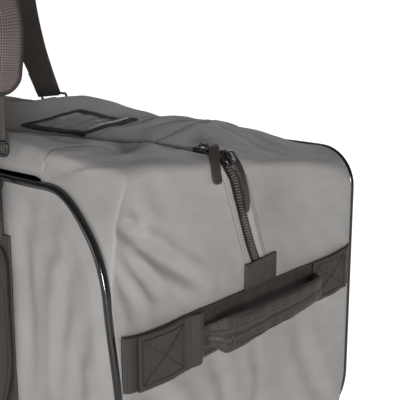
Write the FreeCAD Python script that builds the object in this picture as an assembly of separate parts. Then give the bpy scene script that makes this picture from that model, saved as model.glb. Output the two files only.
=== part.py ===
# Hockey equipment bag: a coated-fabric carry bag with a zip along the top and down both ends.
# Millimetres, +X towards the near end, -Y towards the front, +Z up, origin under the middle.
import FreeCAD, Part
import math
import os

os.makedirs("parts", exist_ok=True)
V = FreeCAD.Vector

# ---- driving dimensions of the body ----
length = 720.0            # over the two ends
width = 360.0             # over the two side panels
zip_z = 388.0             # top of the bag along the zip, which lies in a shallow valley
ridge_in = 30.0           # rounded shoulder over the front panel: in from the side
ridge_z = 397.0           # and its height
hump_y = 60.0             # broader rise behind the zip
hump_z = 402.0
back_drop = 9.0           # shoulder over the back panel, under the front one
rise_in = 6.0             # where the top's steep edges are steepest, in from the seam
panel_top = 366.0         # upper edge of the side panels
panel_corner = 100.0      # corner radius of the side panels
band_corner = 30.0        # radius of the end band over its top corner, away from the side panels
band_foot = 60.0          # and over its bottom corner
fabric = 2.5              # coated fabric with its lining
piping_d = 7.0            # piping round each side panel
piping_proud = 0.8        # how far it stands out of the fabric
flap_half = 250.0         # half length of the part of the top that opens
joint_gap = 0.3           # running gap between soft pieces on different bodies
seam_gap = 0.4            # top flap's edge to the seam, where it hinges
hinge_up = 1.0            # hinge line over the side panels
board_t = 3.0             # stiffening board in the bottom
board_margin = 10.0       # board edge to the side panels

rod_sides = 8             # facets round a rod, cord or piping
profile_steps = 6         # points that carry a flap's curve to its two faces

# ---- webbing ----
web_w = 50.0
web_t = 2.4
haul_x = 183.0            # haul straps from mid length
haul_top = 310.0          # upper end of the haul straps on the side panels
end_strap_z = 226.0       # middle of the end strap above the floor

# ---- zip ----
zip_y = -30.0             # zip line towards the front
zip_foot_y = 14.0         # where its lower end has swung to on the ends
zip_foot_z = 254.0        # lower end of the chain
slot_half = 8.0           # half width of the gap that the tapes fill
slot_deep = 8.0           # how far the gap's cutter reaches in and out of the ends
tape_t = 1.2
tooth_pitch = 6.0
tooth_t = 2.6
tooth_neck = 1.0          # half width at the tape
tooth_head = 1.35         # half width at the head
tooth_root = 3.2          # from the zip line back to the tooth's root
tooth_reach = 1.7         # from the zip line over to the other side
slider_l = 18.0
slider_w = 13.0
slider_plate = 2.2
slider_clear = 0.35       # over the teeth
bail_l = 11.0             # bridge on the slider that the pull hangs in
bail_w = 5.2
bail_h = 4.6
bail_wall = 2.7           # its two feet
bail_roof = 1.6
slider_a_x = 322.0        # first slider on the top
slider_b_turn = 38.0      # second slider, degrees over the corner from upright
loop_l = 13.0             # wire loop of each pull, pin to far bar
loop_w = 10.8
loop_rod = 1.8
pull_a_lay = -4.0         # first pull stands this little off the top
pull_a_swing = -45.0      # and its tab swings towards the front
pull_b_lay = 15.0         # second pull's loop under the horizontal; its tab hangs
pull_l = 54.0
pull_w = 12.0
pull_t = 2.6
pull_chamfer = 0.9
garage_y = 18.0           # folded tab over the zip's lower end
garage_w = 48.0
garage_h = 26.0
garage_t = 5.0
garage_chamfer = 1.6

# ---- card window on the top ----
window_x = 92.0
window_y = 20.0
window_l = 116.0
window_w = 72.0
binding_w = 9.0
binding_t = 1.6
pane_t = 0.8
window_gap = 0.1          # window pieces over the flap's outer face
window_steps = 16         # points that carry the flap's curve to them

# ---- carry handles, hanging from the haul straps ----
handle_top = 302.0
handle_drop = 232.0
handle_corner = 120.0
handle_gap = 0.4
sleeve_l = 130.0
sleeve_w = 58.0
sleeve_t = 7.2
sleeve_round = 14.0

# ---- shoulder strap ----
ring_z = 371.0
ring_rod = 4.0
ring_w = 44.0
ring_h = 36.0
ring_cut = 5.0            # its cut corners
ring_out = 5.6            # ring's rod from the webbing behind it
bow_rod = 1.7
bow_h = 12.0              # bow that the strap is sewn round
bow_side = 3.0            # bow past the webbing's edge, and its cut corners
neck_r = 3.4              # swivel neck between the eye and the bow
eye_r = 6.2
eye_rod = 3.4
hook_top = 402.0
strap_gap = 2.6           # end of the strap over the bow
tab_w = 38.0              # doubled tab behind each ring
keeper_in = 9.0           # its fold, in from the ring's sides
keeper_low = 10.0         # and down from the ring's lower bar
keeper_wall = 1.2
pad_w = 80.0
pad_t = 6.0
pad_gap = 0.3             # pad over the webbing
arch_top = 690.0
arch_twist = 45.0         # turn of the strap between its ends and its run
# middle line of the strap, as shares of the ring's x, its y and the height over the strap's foot
arch_shares = [(1, 1, 0), (0.973, 0.894, 0.229), (0.82, 0.734, 0.544), (0.383, 0.372, 0.895),
               (-0.219, -0.16, 1), (-0.656, -0.436, 0.755), (-0.863, -0.574, 0.439), (-0.962, -0.798, 0.159),
               (-1, -1, 0)]

# ---- end grab handles ----
patch_in = 103.0
patch_out = 157.0
grip_h = 28.0
grip_t = 4.0
grip_stand = 15.0         # clear space for fingers behind the grip
grip_slope = 26.0         # length of its slanted ends along the end
grip_round = 1.9
patch_in_z = 1.0          # patches in from the strap's edges

# ---- worked out ----
floor_z = web_t
end_x = length / 2
side_y = width / 2
seam_y = side_y - piping_d
seam_z = panel_top + piping_d / 2 - piping_proud
corner_x = end_x - band_corner
corner_z = zip_z - band_corner
front_hump = (-(side_y - ridge_in), ridge_z)
back_hump = (hump_y, hump_z)
back_shoulder_z = ridge_z - back_drop
mid_depth = fabric / 2
pin_rise = tooth_t / 2 + slider_clear + slider_plate + bail_roof     # pull's pin over the run
hinge_y = seam_y - seam_gap - fabric / 2
hinge_z = panel_top + hinge_up
slant_drop = corner_z - zip_foot_z
slant_swing = zip_foot_y - zip_y
slant_l = math.hypot(slant_drop, slant_swing)
slant_deg = math.degrees(math.atan2(slant_swing, slant_drop))
garage_z = end_strap_z + web_w / 2 + 0.5
chain_l = (corner_z - garage_z - garage_h) / math.cos(math.radians(slant_deg)) - 2
handle_plane = -(side_y + web_t + handle_gap + web_t / 2)
ring_y = -(side_y + web_t + ring_out)
ring_low = ring_z - ring_h
arch_foot = hook_top + strap_gap


def export(name, *shapes):
    shape = shapes[0] if len(shapes) == 1 else Part.makeCompound(list(shapes))
    shape.exportStep("parts/" + name + ".step")


def box(x0, x1, y0, y1, z0, z1):
    return Part.makeBox(x1 - x0, y1 - y0, z1 - z0, V(x0, y0, z0))


def mirrored(shape, axis):
    return shape.mirror(V(0, 0, 0), axis)


def line(a, b):
    return Part.LineSegment(a, b).toShape()


def arc(a, b, c):
    return Part.Arc(a, b, c).toShape()


def polar(cx, cz, r, angle, y=0.0):
    """Point at an angle from upright, leaning towards +X."""
    return V(cx + r * math.sin(angle), y, cz + r * math.cos(angle))


def rounded_rect(x0, x1, z0, z1, r, y):
    """Closed wire in a plane of constant y."""
    k = r * (1 - math.sqrt(0.5))
    edges = [line(V(x0 + r, y, z0), V(x1 - r, y, z0)),
             arc(V(x1 - r, y, z0), V(x1 - k, y, z0 + k), V(x1, y, z0 + r)),
             line(V(x1, y, z0 + r), V(x1, y, z1 - r)),
             arc(V(x1, y, z1 - r), V(x1 - k, y, z1 - k), V(x1 - r, y, z1)),
             line(V(x1 - r, y, z1), V(x0 + r, y, z1)),
             arc(V(x0 + r, y, z1), V(x0 + k, y, z1 - k), V(x0, y, z1 - r)),
             line(V(x0, y, z1 - r), V(x0, y, z0 + r)),
             arc(V(x0, y, z0 + r), V(x0 + k, y, z0 + k), V(x0 + r, y, z0))]
    return Part.Wire(edges)


# ---------------------------------------------------------------- side panels and piping
def side_panel():
    inset = piping_d + 0.1
    wire = rounded_rect(-end_x + inset, end_x - inset, floor_z + inset, panel_top - piping_d / 2 - 0.1,
                        panel_corner - inset, -side_y + piping_proud)
    return Part.Face(wire).extrude(V(0, fabric, 0))


def rod_turns():
    return [2 * math.pi * (i + 0.5) / rod_sides for i in range(rod_sides + 1)]


def rod_reach(rod):
    """From a rod's centre to the corners of its facets, whose flats touch the round rod."""
    return rod / math.cos(math.pi / rod_sides)


def rod_section(centre, rod):
    """Cross-section of a rod that runs along X."""
    reach = rod_reach(rod)
    return Part.Face(Part.makePolygon([centre + V(0, reach * math.cos(t), reach * math.sin(t))
                                       for t in rod_turns()]))


def rod_frame(x0, x1, z0, z1, bend, y, rod):
    """Rod bent to a rounded rectangle in a plane of constant y."""
    section = rod_section(V(x0 + bend, y, z0), rod)
    pieces = []
    for dx, dz, corner in ((x1 - x0, 0, V(x1 - bend, y, z0 + bend)), (0, z1 - z0, V(x1 - bend, y, z1 - bend)),
                           (x0 - x1, 0, V(x0 + bend, y, z1 - bend)), (0, z0 - z1, V(x0 + bend, y, z0 + bend))):
        run = V(dx, 0, dz)
        run = run * ((run.Length - 2 * bend) / run.Length)
        pieces.append(section.extrude(run))
        section = section.copy()
        section.translate(run)
        pieces.append(section.revolve(corner, V(0, -1, 0), 90))
        section = section.copy()
        section.rotate(corner, V(0, -1, 0), 90)
    return pieces[0].fuse(pieces[1:])


def wire_frame(x0, x1, z0, z1, cut, y, rod):
    """Small ring in a plane of constant y: a faceted rod mitred round a rectangle with cut corners."""
    path = [V(x0 + cut, y, z0), V(x1 - cut, y, z0), V(x1, y, z0 + cut), V(x1, y, z1 - cut),
            V(x1 - cut, y, z1), V(x0 + cut, y, z1), V(x0, y, z1 - cut), V(x0, y, z0 + cut)]
    rims = []
    for i, place in enumerate(path):
        sides = []
        for run in (place - path[i - 1], path[(i + 1) % len(path)] - place):
            run.normalize()
            sides.append(run.cross(V(0, 1, 0)))
        mitre = (sides[0] + sides[1]) * (1 / (1 + sides[0].dot(sides[1])))
        rims.append([place + mitre * (rod_reach(rod) * math.cos(t)) + V(0, rod_reach(rod) * math.sin(t), 0)
                     for t in rod_turns()])
    facets = []
    for i, rim in enumerate(rims):
        far = rims[(i + 1) % len(rims)]
        for k in range(rod_sides):
            quad = [rim[k], rim[k + 1], far[k + 1], far[k], rim[k]]
            facets.append(Part.Face(Part.makePolygon(quad)))
    return Part.Solid(Part.Shell(facets))


def side_piping():
    rod = piping_d / 2
    return rod_frame(-end_x + rod, end_x - rod, floor_z + rod, panel_top, panel_corner - rod,
                     -side_y + rod, rod)


# ---------------------------------------------------------------- end bands
def band_edges(y, top, corner, foot, depth):
    """Outline of the end band, a depth inside its outer surface, from the top to the bottom."""
    out_x = end_x - depth
    x0, x1 = end_x - corner, end_x - foot
    z0, z1 = top - corner, floor_z + foot
    r0, r1 = corner - depth, foot - depth
    return [line(V(flap_half, y, top - depth), V(x0, y, top - depth)),
            arc(V(x0, y, top - depth), polar(x0, z0, r0, math.pi / 4, y), V(out_x, y, z0)),
            line(V(out_x, y, z0), V(out_x, y, z1)),
            arc(V(out_x, y, z1), polar(x1, z1, r1, 0.75 * math.pi, y), V(x1, y, floor_z + depth)),
            line(V(x1, y, floor_z + depth), V(flap_half, y, floor_z + depth))]


def band_section(y, top, corner, foot, inset):
    outer = band_edges(y, top, corner, foot, inset)
    inner = band_edges(y, top, corner, foot, inset + fabric)
    caps = [line(inner[-1].Vertexes[-1].Point, outer[-1].Vertexes[-1].Point),
            line(inner[0].Vertexes[0].Point, outer[0].Vertexes[0].Point)]
    return Part.Wire(Part.__sortEdges__(outer + inner + caps))


def zip_slot():
    """Room for the tapes: over the corner, then down the end on a slant."""
    upper = box(flap_half - 1, end_x + 5, zip_y - slot_half, zip_y + slot_half, corner_z - 2, zip_z + 10)
    return upper.fuse(slanted(box(end_x - slot_deep, end_x + slot_deep, -slot_half, slot_half, -slant_l, 2)))


def slanted(shape):
    """Moves a shape made along -Z at the origin to the slanted run down the end."""
    shape = shape.copy()
    shape.rotate(V(0, 0, 0), V(1, 0, 0), slant_deg)
    shape.translate(V(0, zip_y, corner_z))
    return shape


def end_band():
    def middle(y, top):
        return band_section(y, top, band_corner, band_foot, 0)

    def at_seam(y):
        return band_section(y, panel_top + piping_d / 2, panel_corner, panel_corner, piping_proud)

    stations = [at_seam(-seam_y), middle(*front_hump), middle(zip_y, zip_z), middle(*back_hump),
                middle(-front_hump[0], back_shoulder_z), at_seam(seam_y)]
    return Part.makeLoft(stations, True, True).cut(zip_slot())


# ---------------------------------------------------------------- zip chain
def tape_depths():
    return mid_depth - tape_t / 2, mid_depth + tape_t / 2


def end_tape(sign):
    """One tape of the fixed run: top, corner and slanted end."""
    d0, d1 = tape_depths()
    near, far = sorted([sign * tooth_root, sign * slot_half])
    y0, y1 = zip_y + near, zip_y + far
    top = box(flap_half, corner_x, y0, y1, zip_z - d1, zip_z - d0)
    bend = box(corner_x, corner_x + band_corner, y0, y1, corner_z, corner_z + band_corner)
    for radius, keep in ((band_corner - d0, True), (band_corner - d1, False)):
        drum = Part.makeCylinder(radius, y1 - y0, V(corner_x, y0, corner_z), V(0, 1, 0))
        bend = bend.common(drum) if keep else bend.cut(drum)
    down = slanted(box(end_x - d1, end_x - d0, near, far, -slant_l, 0))
    return top.fuse([bend, down])


def tooth(side):
    """Tooth lying on the zip line: x along the chain, y across, z out of the fabric."""
    back, front = side * tooth_root, -side * tooth_reach
    corners = [V(-tooth_neck, back, 0), V(tooth_neck, back, 0), V(tooth_head, front, 0), V(-tooth_head, front, 0)]
    shape = Part.Face(Part.makePolygon(corners + [corners[0]])).extrude(V(0, 0, tooth_t))
    shape.translate(V(0, 0, -tooth_t / 2))
    return shape


def top_tooth(side, x):
    shape = tooth(side)
    shape.translate(V(x, zip_y, zip_z - mid_depth))
    return shape


def corner_tooth(side, angle):
    shape = tooth(side)
    shape.rotate(V(0, 0, 0), V(0, 1, 0), math.degrees(angle))
    shape.translate(polar(corner_x, corner_z, band_corner - mid_depth, angle, zip_y))
    return shape


def slant_tooth(side, down):
    shape = tooth(side)
    shape.rotate(V(0, 0, 0), V(0, 1, 0), 90)
    shape.translate(V(end_x - mid_depth, 0, -down))
    return slanted(shape)


def teeth_between(low, high, shift):
    """Places of one side's teeth, a pitch apart."""
    count = int((high - low - shift) / tooth_pitch)
    return [low + shift + tooth_pitch * (i + 0.25) for i in range(count)]


def top_teeth(side):
    shift = 0.0 if side < 0 else tooth_pitch / 2
    return [top_tooth(side, x) for x in teeth_between(-flap_half + 1, flap_half - 1, shift)]


def end_teeth(side):
    shift = 0.0 if side < 0 else tooth_pitch / 2
    turn_r = band_corner - mid_depth
    found = [top_tooth(side, x) for x in teeth_between(flap_half + 2, corner_x, shift)]
    found += [corner_tooth(side, s / turn_r) for s in teeth_between(1, turn_r * math.pi / 2, shift)]
    found += [slant_tooth(side, s) for s in teeth_between(2, chain_l, shift)]
    return found


# ---------------------------------------------------------------- top flaps
def flap_curve(sign):
    """Curve across one flap, from its seam to the zip, along the middle of the fabric: sign -1 is the
    front flap, +1 the back flap."""
    zip_edge = (zip_y + sign * slot_half, zip_z)
    if sign < 0:
        rise = (-seam_y + rise_in, (seam_z + ridge_z) / 2)
        halfway = ((front_hump[0] + zip_y) / 2, (ridge_z + zip_z) / 2)
        places = [(-hinge_y, hinge_z), rise, front_hump, halfway, zip_edge]
    else:
        rise = (seam_y - rise_in, (seam_z + back_shoulder_z) / 2)
        places = [(hinge_y, hinge_z), rise, (-front_hump[0], back_shoulder_z), back_hump, zip_edge]
    drop = [0] + [mid_depth] * (len(places) - 1)
    curve = Part.BSplineCurve()
    curve.interpolate([V(0, y, z - d) for (y, z), d in zip(places, drop)])
    return curve


def offset_curve(curve, distance, steps):
    """Curve at a distance to one side of another one in the YZ plane."""
    rim = []
    for i in range(steps + 1):
        u = curve.FirstParameter + (curve.LastParameter - curve.FirstParameter) * i / steps
        along = curve.tangent(u)[0]
        rim.append(curve.value(u) + V(0, -along.z, along.y) * distance)
    offset = Part.BSplineCurve()
    offset.interpolate(rim)
    return offset


def layer(rims, x0, x1):
    """Solid between two curves in the YZ plane, drawn out from x0 to x1."""
    caps = [line(rims[0].StartPoint, rims[1].StartPoint), line(rims[0].EndPoint, rims[1].EndPoint)]
    wire = Part.Wire(Part.__sortEdges__([rims[0].toShape(), rims[1].toShape()] + caps))
    shape = Part.Face(wire).extrude(V(x1 - x0, 0, 0))
    shape.translate(V(x0, 0, 0))
    return shape


def flap_face(sign, out):
    """One face of a flap, a distance out from the middle of its fabric."""
    return offset_curve(flap_curve(sign), -sign * out, profile_steps)


def top_flap(sign, x0, x1):
    return layer([flap_face(sign, mid_depth), flap_face(sign, -mid_depth)], x0, x1)


def window_piece(thick, x_in, y_in, hole):
    """Piece on the back flap's outer face within the window's outline, less a hole inside it."""
    x0, x1 = window_x - window_l / 2 + x_in, window_x + window_l / 2 - x_in
    y0, y1 = window_y - window_w / 2 + y_in, window_y + window_w / 2 - y_in
    top = hump_z + window_w
    under = flap_face(1, mid_depth)
    rims = [offset_curve(under, -rest, window_steps) for rest in (window_gap + thick, window_gap)]
    piece = layer(rims, x0, x1).common(box(x0, x1, y0, y1, panel_top, top))
    if hole:
        piece = piece.cut(box(x0 + hole, x1 - hole, y0 + hole, y1 - hole, panel_top, top))
    return piece


# ---------------------------------------------------------------- sliders and pulls
def slider_outline():
    """Plate with a tapered nose, seen from above."""
    half_l, half_w = slider_l / 2, slider_w / 2
    rim = [V(-half_l, -half_w, 0), V(half_l * 0.2, -half_w, 0), V(half_l, -half_w / 2, 0),
           V(half_l, half_w / 2, 0), V(half_l * 0.2, half_w, 0), V(-half_l, half_w, 0)]
    return Part.Face(Part.makePolygon(rim + [rim[0]]))


def bail(r_out):
    """Raised bridge on the slider that the pull hangs in."""
    half_l, half_w = bail_l / 2, bail_w / 2
    foot = box(-half_l, half_l, -half_w, half_w, r_out - 1, r_out + bail_h)
    gap = half_l - bail_wall
    return foot.cut(box(-gap, gap, -bail_w, bail_w, r_out + 0.3, r_out + bail_h - bail_roof))


def flat_slider():
    """Slider for a straight run, which lies along X at the origin."""
    low = tooth_t / 2 + slider_clear
    plate = slider_outline().extrude(V(0, 0, slider_plate))
    plate.translate(V(0, 0, low))
    return plate.fuse(bail(low + slider_plate)).removeSplitter()


def bent_slider(r_run):
    """Slider for a run bent round the Y axis through the origin."""
    r_in = r_run + tooth_t / 2 + slider_clear
    r_out = r_in + slider_plate
    ring = Part.makeCylinder(r_out, slider_w, V(0, -slider_w / 2, 0), V(0, 1, 0))
    ring = ring.cut(Part.makeCylinder(r_in, slider_w, V(0, -slider_w / 2, 0), V(0, 1, 0)))
    plate = ring.common(slider_outline().extrude(V(0, 0, r_out + 1)))
    return plate.fuse(bail(r_out)).removeSplitter()


def pull(lay, swing):
    """Wire loop and folded tab, hanging from the pin at the origin: the loop is laid over by its own
    angle and the tab swings sideways from it."""
    half, rod = loop_w / 2, loop_rod / 2
    loop = box(-rod, loop_l + rod, -half, half, -rod, rod)
    loop = loop.cut(box(rod, loop_l - rod, -half + 2 * rod, half - 2 * rod, -rod, rod))
    tab = box(-2 * loop_rod, pull_l, -pull_w / 2, pull_w / 2, -pull_t / 2, pull_t / 2)
    tab = tab.makeChamfer(pull_chamfer, [e for e in tab.Edges if abs(e.CenterOfMass.x - pull_l) < 0.1])
    tab.rotate(V(0, 0, 0), V(0, 0, 1), swing)
    tab.translate(V(loop_l, 0, 0))
    pieces = [loop, tab.cut(loop)]
    for piece in pieces:
        piece.rotate(V(0, 0, 0), V(0, 1, 0), lay)
    return pieces


def hang(shape, place):
    shape = shape.copy()
    shape.translate(place)
    return shape


def on_run(shape, cx, cz, angle_deg):
    shape = shape.copy()
    shape.rotate(V(0, 0, 0), V(0, 1, 0), angle_deg)
    shape.translate(V(cx, zip_y, cz))
    return shape


# ---------------------------------------------------------------- webbing
def haul_strap():
    """Runs up the front, under the bottom and up the back, at +X."""
    x0, x1 = haul_x - web_w / 2, haul_x + web_w / 2
    outer = side_y + web_t
    front = box(x0, x1, -outer, -side_y, web_t, haul_top)
    back = box(x0, x1, side_y, outer, web_t, haul_top)
    under = box(x0, x1, -outer, outer, 0, web_t)
    return front.fuse([back, under]).removeSplitter()


def end_strap():
    z0, z1 = end_strap_z - web_w / 2, end_strap_z + web_w / 2
    return box(end_x, end_x + web_t, -seam_y, seam_y, z0, z1)


def grab_patches():
    half = web_w / 2 - patch_in_z
    x0 = end_x + web_t
    return [box(x0, x0 + web_t, y0, y1, end_strap_z - half, end_strap_z + half)
            for y0, y1 in ((-patch_out, -patch_in), (patch_in, patch_out))]


def grab_grip():
    """Folded webbing that stands off the end strap, seen from above as a shallow bracket."""
    x0 = end_x + web_t + joint_gap
    x1 = x0 + grip_stand
    tip = patch_in - joint_gap
    run = tip - grip_slope
    t = grip_t
    rim = [V(x0, -tip, 0), V(x0 + t, -tip, 0), V(x1 + t, -run, 0), V(x1 + t, run, 0),
           V(x0 + t, tip, 0), V(x0, tip, 0), V(x1, run - 2, 0), V(x1, -run + 2, 0)]
    shape = Part.Face(Part.makePolygon(rim + [rim[0]])).extrude(V(0, 0, grip_h))
    shape.translate(V(0, 0, end_strap_z - grip_h / 2))
    corners = [e for e in shape.Edges if abs(e.Length - grip_h) < 0.1 and abs(e.Vertexes[0].Point.y) < tip - 1]
    return shape.makeFillet(grip_round, corners)


def zip_garage():
    """Folded tab over the lower end of the zip, its foot behind the end strap's upper edge."""
    y0, y1 = garage_y - garage_w / 2, garage_y + garage_w / 2
    shape = box(end_x, end_x + garage_t, y0, y1, garage_z, garage_z + garage_h)
    front = [e for e in shape.Edges if e.CenterOfMass.x > end_x + garage_t - 0.1]
    return shape.makeChamfer(garage_chamfer, front)


def handle_loop():
    """Front carry handle hanging down: a broad U of webbing, rounded at its two upper ends."""
    y0 = handle_plane - web_t / 2
    outer_x, inner_x = haul_x + web_w / 2, haul_x - web_w / 2
    foot = handle_top - handle_drop
    r_in = handle_corner - web_w
    outer = rounded_rect(-outer_x, outer_x, foot, handle_top + handle_corner, handle_corner, y0)
    inner = rounded_rect(-inner_x, inner_x, foot + web_w, handle_top + handle_corner, r_in, y0)
    loop = Part.Face(outer).extrude(V(0, web_t, 0)).cut(Part.Face(inner).extrude(V(0, web_t, 0)))
    return loop.cut(box(-outer_x - 1, outer_x + 1, y0 - 1, y0 + web_t + 1, handle_top,
                        handle_top + 2 * handle_corner))


def handle_sleeve():
    foot = handle_top - handle_drop + web_w / 2
    shape = box(-sleeve_l / 2, sleeve_l / 2, handle_plane - sleeve_t / 2, handle_plane + sleeve_t / 2,
                foot - sleeve_w / 2, foot + sleeve_w / 2)
    ends = [e for e in shape.Edges if abs(e.Length - sleeve_t) < 0.01]
    shape = shape.makeFillet(sleeve_round, ends)
    passage = box(-sleeve_l, sleeve_l, handle_plane - web_t / 2, handle_plane + web_t / 2,
                  foot - web_w / 2, foot + web_w / 2)
    return shape.cut(passage)


# ---------------------------------------------------------------- shoulder strap
def arch_point(s):
    """Middle of the strap: s runs from 0 at the front hook to 1 at the back hook."""
    curve = Part.BSplineCurve()
    curve.interpolate([V(haul_x * x, ring_y * y, arch_foot + (arch_top - arch_foot) * z)
                       for x, y, z in arch_shares])
    u = curve.FirstParameter + s * (curve.LastParameter - curve.FirstParameter)
    return curve.value(u), curve.tangent(u)[0]


def arch_frame(s):
    """Place, direction along, direction across and outward direction of the strap."""
    place, along = arch_point(s)
    turn = math.radians(arch_twist) * min(1.0, min(s, 1 - s) / 0.14)
    across = V(math.cos(turn), math.sin(turn), 0)
    across = across - along * across.dot(along)
    across.normalize()
    out = along.cross(across)
    if out.dot(place - V(0, 0, panel_top)) < 0:
        out = out * -1
    return place, along, across, out


def arch_strip(s0, s1, steps, wide, low, high):
    """Strip along the arch between two heights over its middle line."""
    wires = []
    for i in range(steps + 1):
        s = s0 + (s1 - s0) * i / steps
        place, along, across, out = arch_frame(s)
        w = wide / 2
        rim = [place + across * w + out * low, place + across * w + out * high,
               place - across * w + out * high, place - across * w + out * low]
        wires.append(Part.makePolygon(rim + [rim[0]]))
    return Part.makeLoft(wires, True, False)


def ring_tab(x, sign):
    """Doubled webbing tab that holds a ring against the side panel, up to the piping."""
    y0, y1 = sorted([sign * side_y, sign * (side_y + web_t)])
    return box(x - tab_w / 2, x + tab_w / 2, y0, y1, haul_top, panel_top - piping_d)


def strap_ring(x, sign):
    """Rectangular ring standing on its tab: lower bar behind the tab's fold, upper bar free."""
    half = ring_w / 2
    return wire_frame(x - half, x + half, ring_low, ring_z, ring_cut, sign * -ring_y, ring_rod / 2)


def ring_keeper(x, sign):
    """Fold of the tab over the ring's lower bar."""
    half = ring_w / 2 - keeper_in
    wall = ring_rod / 2 + keeper_wall
    y0, y1 = sorted([sign * (side_y + web_t), sign * (-ring_y + wall)])
    fold = box(x - half, x + half, y0, y1, ring_low - keeper_low, ring_low + wall)
    bore = Part.makeCylinder(rod_reach(ring_rod / 2), 2 * ring_w, V(x - ring_w, sign * -ring_y, ring_low),
                             V(1, 0, 0))
    return fold.cut(bore)


def snap_hook(x, sign):
    """Closed eye round the ring's upper bar, swivel neck and the bar that the strap is sewn round."""
    y = sign * -ring_y
    eye_w = 2 * eye_rod
    eye = Part.makeCylinder(eye_r + eye_rod / 2, eye_rod, V(x - eye_rod / 2, y, ring_z), V(1, 0, 0))
    eye = eye.cut(Part.makeCylinder(eye_r - eye_rod / 2, eye_w, V(x - eye_w / 2, y, ring_z), V(1, 0, 0)))
    bow_foot = hook_top - bow_h
    neck_z = ring_z + eye_r
    neck = Part.makeCylinder(neck_r, bow_foot - neck_z, V(x, y, neck_z), V(0, 0, 1))
    half = web_w / 2 + bow_side
    bow = wire_frame(x - half, x + half, bow_foot, hook_top - bow_rod - 0.2, bow_side, y, bow_rod)
    return eye.fuse([neck, bow])


# ---------------------------------------------------------------- write every piece
front_panel = side_panel()
front_piping = side_piping()
near_band = end_band()
bottom = box(-flap_half, flap_half, -seam_y, seam_y, floor_z, floor_z + fabric)
board_y = seam_y - board_margin
board = box(-flap_half + 5, flap_half - 5, -board_y, board_y, floor_z + fabric, floor_z + fabric + board_t)
X_AXIS = V(1, 0, 0)
Y_AXIS = V(0, 1, 0)

export("front_panel", front_panel)
export("back_panel", mirrored(front_panel, Y_AXIS))
export("front_piping", front_piping)
export("back_piping", mirrored(front_piping, Y_AXIS))
export("bottom_panel", bottom)
export("base_board", board)

chain_end = end_teeth(-1) + end_teeth(1)
ends = {
    "end_band": [near_band],
    "haul_strap": [haul_strap()],
    "end_strap": [end_strap()],
    "grab_patches": grab_patches(),
    "grab_grip": [grab_grip()],
    "zip_garage": [zip_garage()],
    "end_zip_tapes": [end_tape(-1), end_tape(1)],
    "end_zip_teeth": chain_end,
}
for name, shapes in ends.items():
    export("near_" + name, *shapes)
    export("far_" + name, *[mirrored(shape, X_AXIS) for shape in shapes])

reach = flap_half - joint_gap
tape_out, tape_in = tape_depths()
for name, sign in (("front", -1), ("back", 1)):
    export(name + "_top_flap", top_flap(sign, -reach, reach))
    y0, y1 = sorted([zip_y + sign * tooth_root, zip_y + sign * (slot_half - 0.35)])
    export(name + "_zip_tape", box(-reach, reach, y0, y1, zip_z - tape_in, zip_z - tape_out))
    export(name + "_zip_teeth", *top_teeth(sign))
export("window_binding", window_piece(binding_t, 0, 0, binding_w))
export("window_pane", window_piece(pane_t, binding_w, binding_w, 0))

corner_run = band_corner - mid_depth
pin_a = V(slider_a_x, zip_y, zip_z - mid_depth + pin_rise)
pin_b = polar(corner_x, corner_z, corner_run + pin_rise, math.radians(slider_b_turn), zip_y)
export("slider_a", hang(flat_slider(), V(slider_a_x, zip_y, zip_z - mid_depth)))
export("slider_b", on_run(bent_slider(corner_run), corner_x, corner_z, slider_b_turn))
loop, tab = pull(pull_a_lay, pull_a_swing)
export("slider_a_pull_loop", hang(loop, pin_a))
export("slider_a_pull_tab", hang(tab, pin_a))
loop, tab = pull(0, 0)
tab.rotate(V(loop_l, 0, 0), V(0, 1, 0), 90 - pull_b_lay)
tab.rotate(V(loop_l, 0, 0), V(1, 0, 0), slant_deg)
for piece in (loop, tab):
    piece.rotate(V(0, 0, 0), V(0, 1, 0), pull_b_lay)
tab = tab.cut(loop)
export("slider_b_pull_loop", hang(loop, pin_b))
export("slider_b_pull_tab", hang(tab, pin_b))

loop = handle_loop()
sleeve = handle_sleeve()
for name, turned in (("front", False), ("back", True)):
    export(name + "_carry_handle", mirrored(loop, Y_AXIS) if turned else loop)
    export(name + "_handle_sleeve", mirrored(sleeve, Y_AXIS) if turned else sleeve)

corners = ((haul_x, -1), (-haul_x, 1))
export("ring_tabs", *[ring_tab(x, sign) for x, sign in corners])
export("ring_keepers", *[ring_keeper(x, sign) for x, sign in corners])
export("strap_rings", *[strap_ring(x, sign) for x, sign in corners])
export("snap_hooks", *[snap_hook(x, sign) for x, sign in corners])
pad_low = web_t / 2 + pad_gap
export("shoulder_webbing", arch_strip(0.0, 1.0, 16, web_w, -web_t / 2, web_t / 2))
export("shoulder_pad", arch_strip(0.13, 0.60, 8, pad_w, pad_low, pad_low + pad_t))
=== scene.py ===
# Hockey equipment bag: the soft shell, webbing, zip and hardware round the CAD frame.
# Lengths in the shape functions are millimetres; everything is turned to metres as it is built.
import math

import bmesh
import bpy
import numpy as np
from mathutils import Matrix, Vector


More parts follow.
